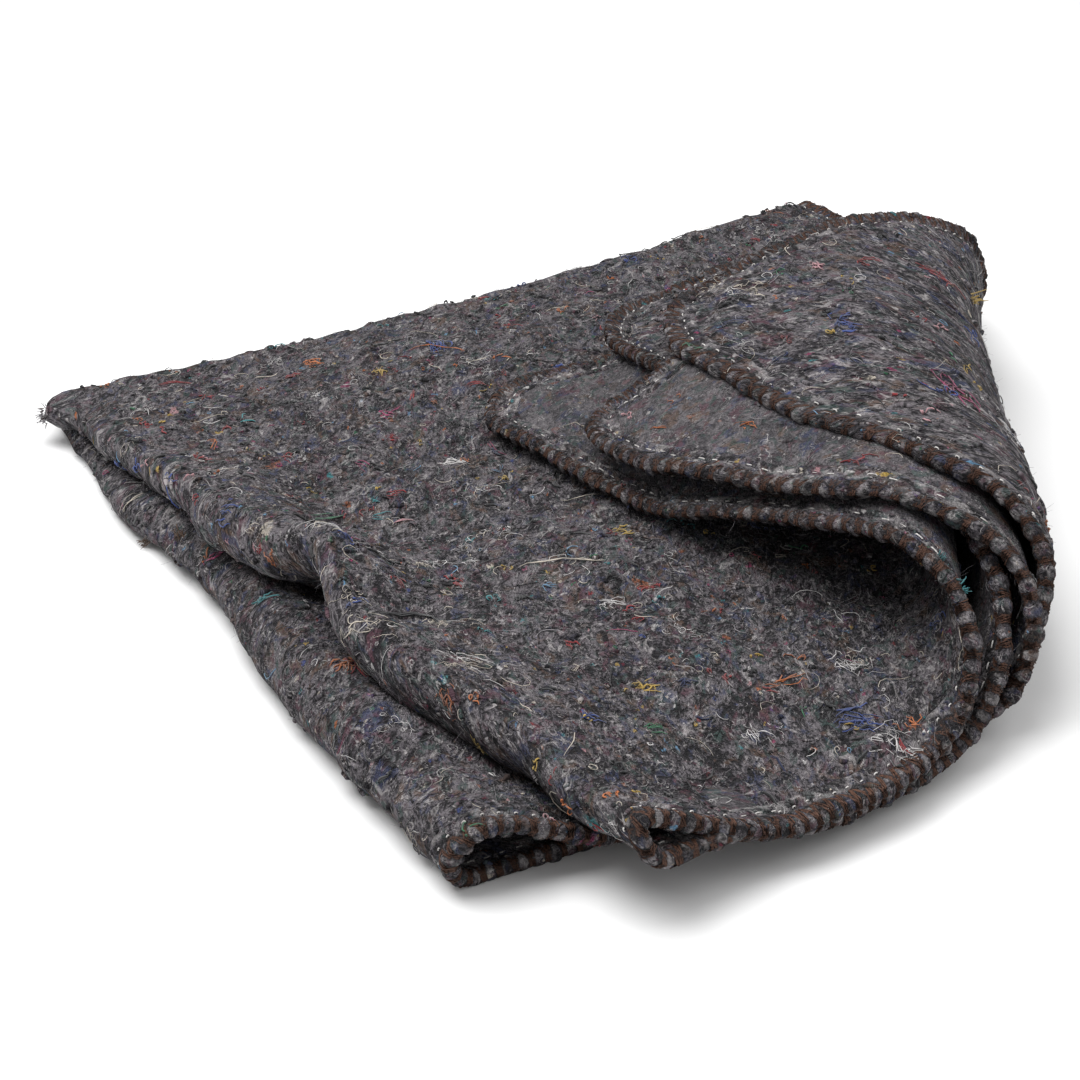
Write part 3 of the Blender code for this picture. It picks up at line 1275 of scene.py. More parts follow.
@dataclass
class EdgeRoll:
    """Overlocked rim: felt drawn into puffs between the yarn, with the sewn groove inside it."""

    cloth: FoldedCloth
    name: str = "overlocked_rim"
    stitches: int = 570
    cells: int = 6
    section: int = 9
    crowding: float = 1.35
    reach: float = 0.0165
    needle: float = 0.0102
    half_height: float = 0.0033
    groove: float = 0.0016
    shoulder: float = 0.0027
    base: float = 0.0011
    bulge: float = 0.0009
    bulge_reach: Pair = (0.007, 0.004)
    groove_width: Pair = (0.0045, 0.0022)
    ending_width: float = 0.0034
    pinch: float = 0.30
    pinch_width: float = 0.0011
    puff: float = 0.0010
    puff_width: float = 0.0022
    puff_reach: float = 0.004
    pulled_in: float = 0.0003
    roughness: float = 0.00045
    shoulder_roughness: float = 0.0004
    unevenness: Relief = Relief(53, 0.011, 3)
    yarn_under: Pair = (0.0050, 0.0015)
    yarn_fade: float = 0.002
    largest: float = 1.7
    seed: int = 5

    def size_at(self, stitch: Array) -> Array:
        """Random size of the puff at the nearest stitch.

        Args:
            stitch: Place along the edge, counted in stitches.

        Returns:
            The size, from 0 to the largest.
        """
        sizes = seeded(self.seed).uniform(0.0, self.largest, self.stitches)
        return sizes[np.mod(np.round(stitch).astype(int), self.stitches)]

    def strand_distance(self, stitch: Array, inset: Array) -> Array:
        """Distance to the nearest strand of yarn, measured along the edge.

        Args:
            stitch: Place along the edge, counted in stitches.
            inset: Distance inside the edge.

        Returns:
            The distance.
        """
        spread = 0.5 * np.clip(1.0 - inset / self.needle, 0.0, 1.0)
        away = np.abs(stitch - np.round(stitch))
        return np.abs(away - spread) * self.cloth.perimeter_length(0.0) / self.stitches

    def height(self, stitch: Array, inset: Array, a: Array, b: Array) -> Array:
        """Height of the rim over the middle of the cloth.

        Args:
            stitch: Place along the edge, counted in stitches.
            inset: Distance inside the edge.
            a: First flat-sheet coordinate.
            b: Second flat-sheet coordinate.

        Returns:
            The height.
        """
        round_in = np.sqrt(np.clip(1.0 - (1.0 - np.clip(inset / self.half_height, 0.0, 1.0)) ** 2, 0.0, 1.0))
        bulging = smooth((self.bulge_reach[0] - inset) / self.bulge_reach[1])
        crown = self.half_height + self.bulge * self.size_at(stitch) * bulging
        gully = self.groove + (crown - self.groove) * smooth((self.needle - inset) / self.groove_width[0])
        outer = self.shoulder + self.shoulder_roughness * self.unevenness(a, b)
        inner = self.groove + (outer - self.groove) * smooth((inset - self.needle) / self.groove_width[1])
        ending = self.base + (inner - self.base) * smooth((self.reach - inset) / self.ending_width)
        level = np.where(inset < self.needle, gully, ending) * round_in
        close = np.exp(-((self.strand_distance(stitch, inset) / self.pinch_width) ** 2))
        drawn = self.pinch * close * smooth((self.needle + 0.001 - inset) / 0.003)
        return level * (1.0 - drawn) + self.roughness * self.unevenness(4.0 * b, 4.0 * a) * round_in

    def build(self, finish: bpy.types.Material) -> bpy.types.Object:
        """Make the rim as one closed ring.

        Args:
            finish: The felt's material.

        Returns:
            The piece.
        """
        rings = self.stitches * self.cells
        stitch = np.arange(rings) / self.cells
        share = np.linspace(-1.0, 1.0, 2 * self.section + 1)
        inset = self.reach * np.abs(share) ** self.crowding
        stitch, inset = np.meshgrid(stitch, inset, indexing="ij")
        away = self.strand_distance(stitch, np.zeros_like(inset))
        out = self.puff * self.size_at(stitch) * smooth(away / self.puff_width) - self.pulled_in
        puffed = inset - out * smooth(1.0 - inset / self.puff_reach)
        a, b = self.cloth.perimeter(stitch / self.stitches, puffed)
        middle, normal = self.cloth.frames(a, b)
        level = self.height(stitch, inset, a, b) * np.sign(share)
        away = self.strand_distance(stitch, inset)
        under = smooth((self.yarn_under[0] - inset) / self.yarn_under[1])
        shown = np.where(share > 0.0, 1.0, under) * smooth((self.needle - inset) / self.yarn_fade)
        return add_mesh(
            self.name,
            middle + normal * level[..., None],
            tube_faces(1, rings, share.size, closed=True),
            finish,
            cloth=np.stack((a, b, level), axis=-1),
            strand=np.stack((away, shown, np.zeros_like(away)), axis=-1),
        )


@dataclass
class EdgeYarn:
    """Brown overlock yarn, a few filaments to each strand, from the needle line round the edge.

    The spread of a strand is given for the rough and the smooth face. Its filaments lie at a lift over the
    rim, are pulled down on the smooth face where they are sunk, and are buried where felt covers them.
    """

    cloth: FoldedCloth
    rim: EdgeRoll
    filaments: int = 4
    rings: int = 9
    crowding: float = 1.2
    sides: int = 3
    radius: float = 0.00031
    spread: Pair = (0.00085, 0.00080)
    wobble: float = 0.16
    shift: float = 0.35
    lift: float = 0.00012
    sunk: float = 0.0008
    buried: float = 0.0007
    anchored: float = 0.0012
    pushed_out: float = 0.0006
    sunk_from: Pair = (0.0045, 0.002)
    sunk_to: Pair = (0.001, 0.0015)
    covering: Relief = Relief(83, 0.034, 3)
    seed: int = 71

    def build(self, slant: int, finish: bpy.types.Material) -> bpy.types.Object:
        """Make every strand that slants one way.

        Args:
            slant: 1 or -1, for the way the strands run out from the needle line.
            finish: The yarn's material.

        Returns:
            The piece.
        """
        draw = seeded(self.seed + slant)
        needle, stitches = self.rim.needle, self.rim.stitches
        count = stitches * self.filaments
        number = np.repeat(np.arange(stitches), self.filaments)[:, None]
        lane = np.tile(np.linspace(-1.0, 1.0, self.filaments), stitches)[:, None]
        way = np.linspace(1.0, -1.0, self.rings)[None, :] + np.zeros((count, 1))
        inset = needle * np.abs(way) ** self.crowding
        out = 1.0 - np.abs(way)
        pitch = self.cloth.perimeter_length(0.0) / stitches
        spread = np.where(way > 0.0, *self.spread)
        wobble = draw.normal(0.0, self.wobble, (count, self.rings)) * spread * (0.3 + out)
        shift = draw.uniform(-self.shift, self.shift, (count, 1)) * spread * out
        stitch = number + slant * 0.5 * (1.0 - inset / needle)
        stitch = stitch + (lane * spread * (0.25 + 1.0 * out) + wobble + shift) / pitch
        a, b = self.cloth.perimeter(stitch / stitches, inset)
        middle, normal = self.cloth.frames(a, b)
        sign = np.sign(way)
        level = self.rim.height(stitch, inset, a, b)
        hidden = smooth((inset - self.sunk_from[0]) / self.sunk_from[1]) * (way < 0.0)
        hidden = hidden * smooth((needle - self.sunk_to[0] - inset) / self.sunk_to[1])
        level = level + self.lift - self.sunk * hidden * draw.uniform(0.1, 1.6, (count, 1))
        level = level + np.abs(draw.normal(0.0, self.lift, (count, self.rings)))
        strength = draw.uniform(0.3, 1.0, (stitches, 1)).repeat(self.filaments, 0)
        level = level - self.buried * smooth(2.2 * self.covering(a, b)) * strength
        level = np.where(out < 0.001, level - self.anchored, level)
        centres = middle + normal * (sign * level)[..., None]
        edge = slice(self.rings // 2 - 1, self.rings // 2 + 1)
        centres[:, edge] += self.outward(a, b)[:, edge] * self.pushed_out
        radii = self.radius * draw.uniform(0.7, 1.2, (count, 1)) * np.ones((1, self.rings))
        name = "edge_yarn_forward" if slant > 0 else "edge_yarn_back"
        return add_tubes(name, centres, normal, radii, self.sides, place_on_face(a, b, sign), finish)

    def outward(self, a: Array, b: Array) -> Array:
        """Direction out of the cloth's edge, in its own plane.

        Args:
            a: First flat-sheet coordinate.
            b: Second flat-sheet coordinate.

        Returns:
            The direction in world axes.
        """
        scale = 1.0 + 0.002 / np.maximum(np.maximum(np.abs(a), np.abs(b)), 1e-6)
        return unit(self.cloth.points(a * scale, b * scale) - self.cloth.points(a, b))


@dataclass
class NeedleThread:
    """White sewing thread: dots on the rough face and long stitches on the smooth one."""

    cloth: FoldedCloth
    rim: EdgeRoll
    name: str = "needle_thread"
    radius: float = 0.00040
    lifts: Pair = (0.0008, 0.0005)
    dip: float = 0.0022
    dip_start: float = 0.72
    wander: float = 0.0003
    sunk: float = 0.0006
    rings: int = 5
    sides: int = 4
    lengths: Pair = (0.13, 0.30)
    seed: int = 29

    def build(self, finish: bpy.types.Material) -> bpy.types.Object:
        """Make all the stitches.

        Args:
            finish: The thread's material.

        Returns:
            The piece.
        """
        draw = seeded(self.seed)
        paths, ups, places = [], [], []
        for face, first, half, lift in zip(Face, (0.0, 0.5), self.lengths, self.lifts):
            number = np.arange(self.rim.stitches)[:, None] + first
            way = np.linspace(-1.0, 1.0, self.rings)[None, :]
            reach = half * draw.uniform(0.8, 1.15, (self.rim.stitches, 1))
            stitch = number + way * reach
            inset = self.rim.needle + draw.normal(0.0, self.wander, number.shape) + 0.0 * way
            a, b = self.cloth.perimeter(stitch / self.rim.stitches, inset)
            middle, normal = self.cloth.frames(a, b)
            dipping = smooth((np.abs(way) - self.dip_start) / (1.0 - self.dip_start))
            level = self.rim.groove + lift - self.dip * dipping
            level = level - draw.uniform(0.0, self.sunk, (self.rim.stitches, 1))
            paths.append(middle + normal * (face.value * level)[..., None])
            ups.append(normal)
            places.append(place_on_face(a, b, face.value))
        centres, ups, places = map(np.concatenate, (paths, ups, places))
        radii = np.full(centres.shape[:2], self.radius)
        return add_tubes(self.name, centres, ups, radii, self.sides, places, finish)


@dataclass
class OpenSurface:
    """Tells where the cloth's surface can be seen from outside."""

    cloth: FoldedCloth
    lines: int = 110
    start: float = 0.0035
    free_way: float = 0.010

    def __post_init__(self) -> None:
        """Fold a coarse copy of the cloth for ray tests."""
        reach = 0.5 * self.cloth.side
        line = np.linspace(-reach, reach, self.lines)
        a, b = np.meshgrid(line, line, indexing="ij")
        middle = self.cloth.points(a, b)
        faces = grid_faces(np.arange(a.size).reshape(a.shape))
        self.tree = BVHTree.FromPolygons(middle.reshape(-1, 3).tolist(), faces.tolist())

    def is_open(self, point: Array, normal: Array) -> bool:
        """Test one place on the surface.

        Args:
            point: World position on the middle of the cloth.
            normal: Direction out of the face.

        Returns:
            Whether nothing lies close over it, neither cloth nor floor.
        """
        start = Vector(point) + Vector(normal) * self.start
        if start.z + normal[2] * self.free_way < 0.0:
            return False
        return self.tree.ray_cast(start, Vector(normal), self.free_way)[0] is None


@dataclass(frozen=True)
class FibreKind:
    """One colour of loose fibre, how much of it there is and how it lies together."""

    form: str
    shade: Shade
    count: int
    length: Pair
    radius: float
    together: int = 1
    spread: float = 0.0022


@dataclass
class Surface:
    """The finished surface of the cloth, and the places on it that loose fibres take."""

    cloth: FoldedCloth
    sheet: FeltSheet
    open_surface: OpenSurface
    rim_height: float = 0.0032
    groove_height: float = 0.0019
    rim_width: float = 0.015
    smooth_share: float = 0.20

    def level(self, a: Array, b: Array, face: Face) -> Array:
        """Height of one face.

        Args:
            a: First flat-sheet coordinate.
            b: Second flat-sheet coordinate.
            face: Which face.

        Returns:
            The height over the middle of the cloth.
        """
        inset = 0.5 * self.cloth.side - np.maximum(np.abs(a), np.abs(b))
        felt = self.sheet.half_thickness(a, b, inset, face)
        bump = self.rim_height * smooth((0.0092 - inset) / 0.004) * smooth(inset / 0.003)
        return np.maximum(felt, np.where(inset < self.rim_width, np.maximum(bump, self.groove_height), 0.0))

    def level_by_sign(self, a: Array, b: Array, sign: Array) -> Array:
        """Height of whichever face each place is on.

        Args:
            a: First flat-sheet coordinate.
            b: Second flat-sheet coordinate.
            sign: Sign of the face.

        Returns:
            The height over the middle of the cloth.
        """
        return np.where(sign > 0.0, *(self.level(a, b, face) for face in Face))

    def starts(self, draw: np.random.Generator, count: int, tries: int = 14) -> tuple[Array, Array, Array]:
        """Pick places that can be seen from outside.

        Args:
            draw: Source of random numbers.
            count: Number wanted.
            tries: How many more places are drawn than wanted.

        Returns:
            Coordinates a and b and the sign of the face.
        """
        reach = 0.5 * self.cloth.side - 0.002
        a, b = draw.uniform(-reach, reach, (2, count * tries))
        sign = np.where(draw.random(a.size) < self.smooth_share / (1.0 + self.smooth_share), -1.0, 1.0)
        middle, normal = self.cloth.frames(a, b)
        kept = []
        for number in range(a.size):
            if self.open_surface.is_open(middle[number], normal[number] * sign[number]):
                kept.append(number)
            if len(kept) == count:
                break
        return a[kept], b[kept], sign[kept]

    def walk(self, a: Array, b: Array, heading: Array, step: Array) -> tuple[Array, Array]:
        """Walk over the flat sheet, and stay on it.

        Args:
            a: First flat-sheet coordinate of each start.
            b: Second flat-sheet coordinate of each start.
            heading: Heading of each step, as paths by steps.
            step: Length of the steps of each path.

        Returns:
            Coordinates a and b, as paths by steps.
        """
        limit = 0.5 * self.cloth.side - 0.0015
        a = a[:, None] + (np.cos(heading) * step).cumsum(axis=1)
        b = b[:, None] + (np.sin(heading) * step).cumsum(axis=1)
        return np.clip(a, -limit, limit), np.clip(b, -limit, limit)


@dataclass
class FibreMaker:
    """What every maker of loose fibres needs: the surface, and the tubes' rings and sides."""

    surface: Surface
    rings: int = 7
    sides: int = 3

    @property
    def cloth(self) -> FoldedCloth:
        """Shape of the middle of the cloth."""
        return self.surface.cloth

    def bow(self) -> Array:
        """Half wave along a fibre, 0 at its ends and 1 in the middle."""
        return np.sin(np.linspace(0.0, math.pi, self.rings))[None, :]


@dataclass
class LooseFibres(FibreMaker):
    """Loose curly fibres of every colour, felted into the surface."""

    rings: int = 9
    curl: float = 0.45
    raised: float = 0.0009
    waviness: float = 0.00012
    rooted: float = 0.0012
    seed: int = 101

    def build(self, kind: FibreKind) -> bpy.types.Object:
        """Make every fibre of one colour.

        Args:
            kind: The colour and its sizes.

        Returns:
            The piece.
        """
        draw = seeded(self.seed, kind.form, kind.shade.name)
        spots = self.surface.starts(draw, kind.count // kind.together)
        a, b, sign = (np.repeat(part, kind.together) for part in spots)
        shape = (a.size, self.rings)
        if kind.together > 1:
            a = a + draw.normal(0.0, kind.spread, a.size)
            b = b + draw.normal(0.0, kind.spread, a.size)
        length = kind.length[0] + (kind.length[1] - kind.length[0]) * draw.random(a.size) ** 2.2
        curl = draw.normal(0.0, self.curl, (a.size, 1))
        curl = curl + 0.5 * draw.normal(0.0, self.curl, shape).cumsum(axis=1)
        heading = draw.uniform(0.0, 2.0 * math.pi, (a.size, 1)) + curl.cumsum(axis=1)
        a, b = self.surface.walk(a, b, heading, (length / (self.rings - 1))[:, None])
        middle, normal = self.cloth.frames(a, b)
        sign, bow = sign[:, None], self.bow()
        raised = draw.uniform(0.0, self.raised, (len(a), 1)) * bow + draw.normal(0.0, self.waviness, shape)
        level = self.surface.level_by_sign(a, b, sign) + kind.radius * 0.6
        level = level + raised - self.rooted * (1.0 - bow) ** 4
        centres = middle + normal * (sign * level)[..., None]
        radii = kind.radius * draw.uniform(0.6, 1.25, (len(a), 1)) * (0.55 + 0.45 * bow)
        name = f"{kind.form}_{kind.shade.name.lower()}"
        places, finish = place_on_face(a, b, sign), FibreFinish(kind.shade).material()
        return add_tubes(name, centres, normal, radii, self.sides, places, finish)


@dataclass(frozen=True)
class Strand:
    """One tangle of coloured fibre, laid along a few flat-sheet points."""

    fibres: int
    spread: float
    radius: float
    path: tuple[Pair, ...]
    face: Face = Face.ROUGH

    @property
    def is_thread(self) -> bool:
        """Whether the fibres run side by side as one thread, from end to end."""
        return self.fibres < 4


@dataclass
class LaidStrands(FibreMaker):
    """Tangles and threads of coloured fibre, each laid at its own place."""

    wander: float = 0.60
    covered: Pair = (0.35, 0.85)
    raised: float = 0.0012
    rooted: float = 0.001
    seed: int = 503

    def route(self, draw: np.random.Generator, strand: Strand) -> tuple[Array, Array]:
        """Wander along a strand's path, once for each of its fibres.

        Args:
            draw: Source of random numbers.
            strand: The strand.

        Returns:
            Coordinates a and b, as fibres by rings.
        """
        limit = 0.5 * self.cloth.side - 0.001
        one, shape = (strand.fibres, 1), (strand.fibres, self.rings)
        path = np.array(strand.path)
        gone = np.concatenate(([0.0], np.hypot(*np.diff(path, axis=0).T).cumsum()))
        cover = np.ones(one) if strand.is_thread else draw.uniform(*self.covered, one)
        start = draw.random(one) * (1.0 - cover)
        way = (start + cover * np.linspace(0.0, 1.0, self.rings)) * gone[-1]
        route = []
        for axis in range(2):
            wander = draw.normal(0.0, strand.spread, one)
            wander = wander + draw.normal(0.0, self.wander * strand.spread, shape).cumsum(1)
            route.append(np.clip(np.interp(way, gone, path[:, axis]) + wander, -limit, limit))
        return tuple(route)

    def build(self, shade: Shade, strands: tuple[Strand, ...]) -> bpy.types.Object:
        """Make every strand of one colour.

        Args:
            shade: The colour.
            strands: Its strands.

        Returns:
            The piece.
        """
        draw, bow = seeded(self.seed, shade.name), self.bow()
        lines, ups, radii, places = [], [], [], []
        for strand in strands:
            a, b = self.route(draw, strand)
            middle, normal = self.cloth.frames(a, b)
            over, stoutest = (0.5, 1.2) if strand.is_thread else (-0.3, 2.2)
            level = self.surface.level(a, b, strand.face) + strand.radius * over
            level = level + draw.uniform(0.0, self.raised, (len(a), 1)) * bow
            level = level - self.rooted * (1.0 - bow) ** 4
            lines.append(middle + normal * (strand.face.value * level)[..., None])
            ups.append(normal)
            radii.append(strand.radius * draw.uniform(0.6, stoutest, (len(a), 1)) * (0.35 + 0.65 * bow))
            places.append(place_on_face(a, b, strand.face.value))
        centres, ups, radii, places = map(np.concatenate, (lines, ups, radii, places))
        name, finish = f"laid_{shade.name.lower()}", FibreFinish(shade).material()
        return add_tubes(name, centres, ups, radii, self.sides, places, finish)


@dataclass(frozen=True)
class Tuft:
    """Bunch of fibres that stands off the cloth at one place."""

    centre: Pair
    length: float
    fibres: int
    radius: float = 0.00045
    face: Face = Face.ROUGH


@dataclass
class Tufts(FibreMaker):
    """Loose bunches that stick out of the cloth's outline."""

    spread: float = 0.0011
    root: float = 0.0015
    bunch_lean: float = 0.35
    fibre_lean: float = 0.16
    curl: float = 0.07
    seed: int = 601

    def build(self, shade: Shade, tufts: tuple[Tuft, ...]) -> bpy.types.Object:
        """Make every tuft of one colour.

        Args:
            shade: The colour.
            tufts: Its tufts.

        Returns:
            The piece.
        """
        draw = seeded(self.seed, shade.name)
        fibres = [tuft for tuft in tufts for _ in range(tuft.fibres)]
        count = len(fibres)
        a, b = np.array([tuft.centre for tuft in fibres]).T
        a, b = a + draw.normal(0.0, self.spread, count), b + draw.normal(0.0, self.spread, count)
        sign = np.array([tuft.face.value for tuft in fibres])
        length = np.array([tuft.length for tuft in fibres]) * draw.uniform(0.35, 1.0, count)
        middle, normal = self.cloth.frames(a, b)
        out = normal * sign[:, None]
        bunches = draw.normal(0.0, self.bunch_lean, (len(tufts), 3))
        shared = np.repeat(bunches, [tuft.fibres for tuft in tufts], axis=0)
        lean = unit(out + shared + draw.normal(0.0, self.fibre_lean, (count, 3)))
        way = np.linspace(0.0, 1.0, self.rings)[None, :, None]
        curl = draw.normal(0.0, self.curl, (count, self.rings, 3)).cumsum(axis=1)
        centres = (middle + out * self.root)[:, None] + length[:, None, None] * way * (lean[:, None] + curl)
        ups = np.broadcast_to(unit(np.cross(lean, shared + 0.1))[:, None], centres.shape)
        radius = np.array([[tuft.radius] for tuft in fibres])
        radii = radius * draw.uniform(0.6, 1.3, (count, 1)) * np.linspace(1.0, 0.4, self.rings)
        places = np.broadcast_to(place_on_face(a, b, sign)[:, None], centres.shape)
        name, finish = f"tufts_{shade.name.lower()}", FibreFinish(shade).material()
        return add_tubes(name, centres, ups, radii, self.sides, places, finish)


@dataclass
class FeltNubs(FibreMaker):
    """Small knots of felted fibre that stand proud of the surface."""

    rings: int = 5
    sides: int = 5
    name: str = "felt_nubs"
    count: int = 1700
    length: Pair = (0.003, 0.009)
    radius: Pair = (0.0004, 0.0014)
    outline: tuple[float, ...] = (0.25, 0.9, 1.0, 0.9, 0.25)
    seed: int = 409

    def build(self, finish: bpy.types.Material) -> bpy.types.Object:
        """Make the nubs.

        Args:
            finish: The felt's material.

        Returns:
            The piece.
        """
        draw = seeded(self.seed)
        a, b, sign = self.surface.starts(draw, self.count)
        one, shape = (a.size, 1), (a.size, self.rings)
        step = draw.uniform(*self.length, one) / (self.rings - 1)
        heading = draw.uniform(0.0, 2.0 * math.pi, one) + draw.normal(0.0, 0.5, shape).cumsum(axis=1)
        a, b = self.surface.walk(a, b, heading, step)
        middle, normal = self.cloth.frames(a, b)
        sign = sign[:, None]
        radii = draw.uniform(*self.radius, one) * draw.uniform(0.6, 1.2, shape) * np.array(self.outline)
        level = self.surface.level_by_sign(a, b, sign) + 0.15 * radii
        centres = middle + normal * (sign * level)[..., None]
        return add_tubes(self.name, centres, normal, radii, self.sides, place_on_face(a, b, sign), finish)


@dataclass
class SurfaceFuzz(FibreMaker):
    """Short fine hairs that stand off the felt and soften its outline."""

    rings: int = 3
    name: str = "surface_fuzz"
    count: int = 4700
    length: Pair = (0.0012, 0.0042)
    radius: float = 0.00010
    sunk: float = 0.0004
    lean: float = 0.7
    swirl: float = 0.5
    seed: int = 307

    def build(self, finish: bpy.types.Material) -> bpy.types.Object:
        """Make the hairs.

        Args:
            finish: Their material.

        Returns:
            The piece.
        """
        draw = seeded(self.seed)
        a, b, sign = self.surface.starts(draw, self.count)
        middle, normal = self.cloth.frames(a, b)
        out = normal * sign[:, None]
        root = middle + out * (self.surface.level_by_sign(a, b, sign) - self.sunk)[:, None]
        lean = unit(out + draw.normal(0.0, self.lean, out.shape))
        swirl = draw.normal(0.0, self.swirl, out.shape)
        length = draw.uniform(*self.length, a.size)[:, None, None]
        way = np.linspace(0.0, 1.0, self.rings)[None, :, None]
        centres = root[:, None] + length * (lean[:, None] * way + swirl[:, None] * way**2)
        ups = np.broadcast_to(unit(np.cross(lean, swirl))[:, None], centres.shape)
        radii = self.radius * draw.uniform(0.6, 1.4, (a.size, 1)) * np.linspace(1.0, 0.35, self.rings)
        places = np.broadcast_to(place_on_face(a, b, sign)[:, None], centres.shape)
        return add_tubes(self.name, centres, ups, radii, self.sides, places, finish)


@dataclass
class Studio:
    """Pale floor, soft light and the camera."""

    camera_place: Triple = (-0.6181, -0.8412, 0.5448)
    camera_dip: float = 0.4938
    camera_heading: float = 1.0173
    focal_length: float = 80.9
    sensor: float = 36.0
    floor_size: float = 12.0
    floor_colour: Colour = (0.86, 0.86, 0.86, 1.0)
    floor_roughness: float = 0.9
    world_strength: float = 0.46
    lamps: tuple[tuple[Triple, float, float], ...] = (
        ((-0.55, 0.25, 1.7), 1.4, 40.0),
        ((0.8, -0.9, 1.9), 1.6, 14.0),
    )

    def build(self) -> None:
        """Set out the floor, the light and the camera."""
        self.add_floor()
        self.add_light()
        self.add_camera()

    def add_floor(self) -> None:
        """Lay a pale floor under the cloth."""
        reach = 0.5 * self.floor_size
        corners = reach * np.array([(-1.0, -1.0, 0.0), (1.0, -1.0, 0.0), (1.0, 1.0, 0.0), (-1.0, 1.0, 0.0)])
        graph = NodeGraph("pale_floor")
        graph.shader.inputs["Base Color"].default_value = self.floor_colour
        graph.shader.inputs["Roughness"].default_value = self.floor_roughness
        floor = add_mesh("floor", corners, [[0, 1, 2, 3]], graph.material)

    def add_light(self) -> None:
        """Light the scene from a pale sky and large soft lamps."""
        world = bpy.data.worlds.new("studio")
        world.use_nodes = True
        sky = world.node_tree.nodes["Background"]
        sky.inputs["Color"].default_value = (1.0, 1.0, 1.0, 1.0)
        sky.inputs["Strength"].default_value = self.world_strength
        bpy.context.scene.world = world
        bpy.context.scene.view_settings.view_transform = "Standard"
        for number, (place, size, power) in enumerate(self.lamps):
            light = bpy.data.lights.new(f"softbox_{number}", "AREA")
            light.size = size
            light.energy = power
            lamp = bpy.data.objects.new(light.name, light)
            lamp.location = place
            lamp.rotation_euler = (-Vector(place)).to_track_quat("-Z", "Y").to_euler()
            bpy.context.scene.collection.objects.link(lamp)

    def add_camera(self) -> None:
        """Place the camera and make it the scene's own."""
        dip, heading = self.camera_dip, self.camera_heading
        level = math.cos(dip)
        ahead = Vector((level * math.cos(heading), level * math.sin(heading), -math.sin(dip)))
        data = bpy.data.cameras.new("camera")
        data.sensor_fit = "HORIZONTAL"
        data.sensor_width = self.sensor
        data.lens = self.focal_length
        camera = bpy.data.objects.new("camera", data)
        camera.location = self.camera_place
        camera.rotation_euler = ahead.to_track_quat("-Z", "Y").to_euler()
        bpy.context.scene.collection.objects.link(camera)
        bpy.context.scene.camera = camera


NUDGES = (
    Nudge((-0.235, 0.25), (0.0018, -0.0016, -0.0021)),
    Nudge((-0.19, 0.08), (0.0065, -0.0002, 0.0013)),
    Nudge((-0.13, -0.08), (0.0006, 0.001, 0.0031)),
    Nudge((-0.05, -0.19), (-0.0002, 0.0041, -0.0006)),
    Nudge((0.02, -0.27), (-0.0014, 0.0033, 0.0032)),
    Nudge((0.12, -0.25), (0.0003, 0.0, 0.0009)),
    Nudge((-0.14, 0.26), (0.0001, -0.004, -0.0061)),
    Nudge((-0.04, 0.265), (0.0001, -0.0031, -0.0046)),
    Nudge((0.06, 0.265), (0.0001, -0.0016, -0.0023)),
    Nudge((0.15, 0.26), (0.0, -0.0002, -0.0004)),
    Nudge((0.215, 0.255), (-0.0006, 0.0031, 0.0039)),
    Nudge((0.235, 0.19), (-0.0006, 0.0016, 0.0004)),
    Nudge((0.22, 0.1), (-0.0013, 0.0008, -0.0028)),
    Nudge((0.24, 0.0), (-0.0017, 0.0025, 0.0059)),
    Nudge((0.255, -0.06), (-0.0026, 0.0018, 0.001)),
    Nudge((0.17, -0.1), (0.0001, 0.0002, 0.0015)),
    Nudge((0.12, 0.02), (-0.0028, 0.0029, 0.0017)),
    Nudge((0.0, 0.0), (0.0004, -0.0002, 0.0028)),
    Nudge((0.13, 0.13), (-0.0003, -0.0001, -0.0028)),
    Nudge((0.0, 0.13), (0.0002, 0.0001, 0.0014)),
)

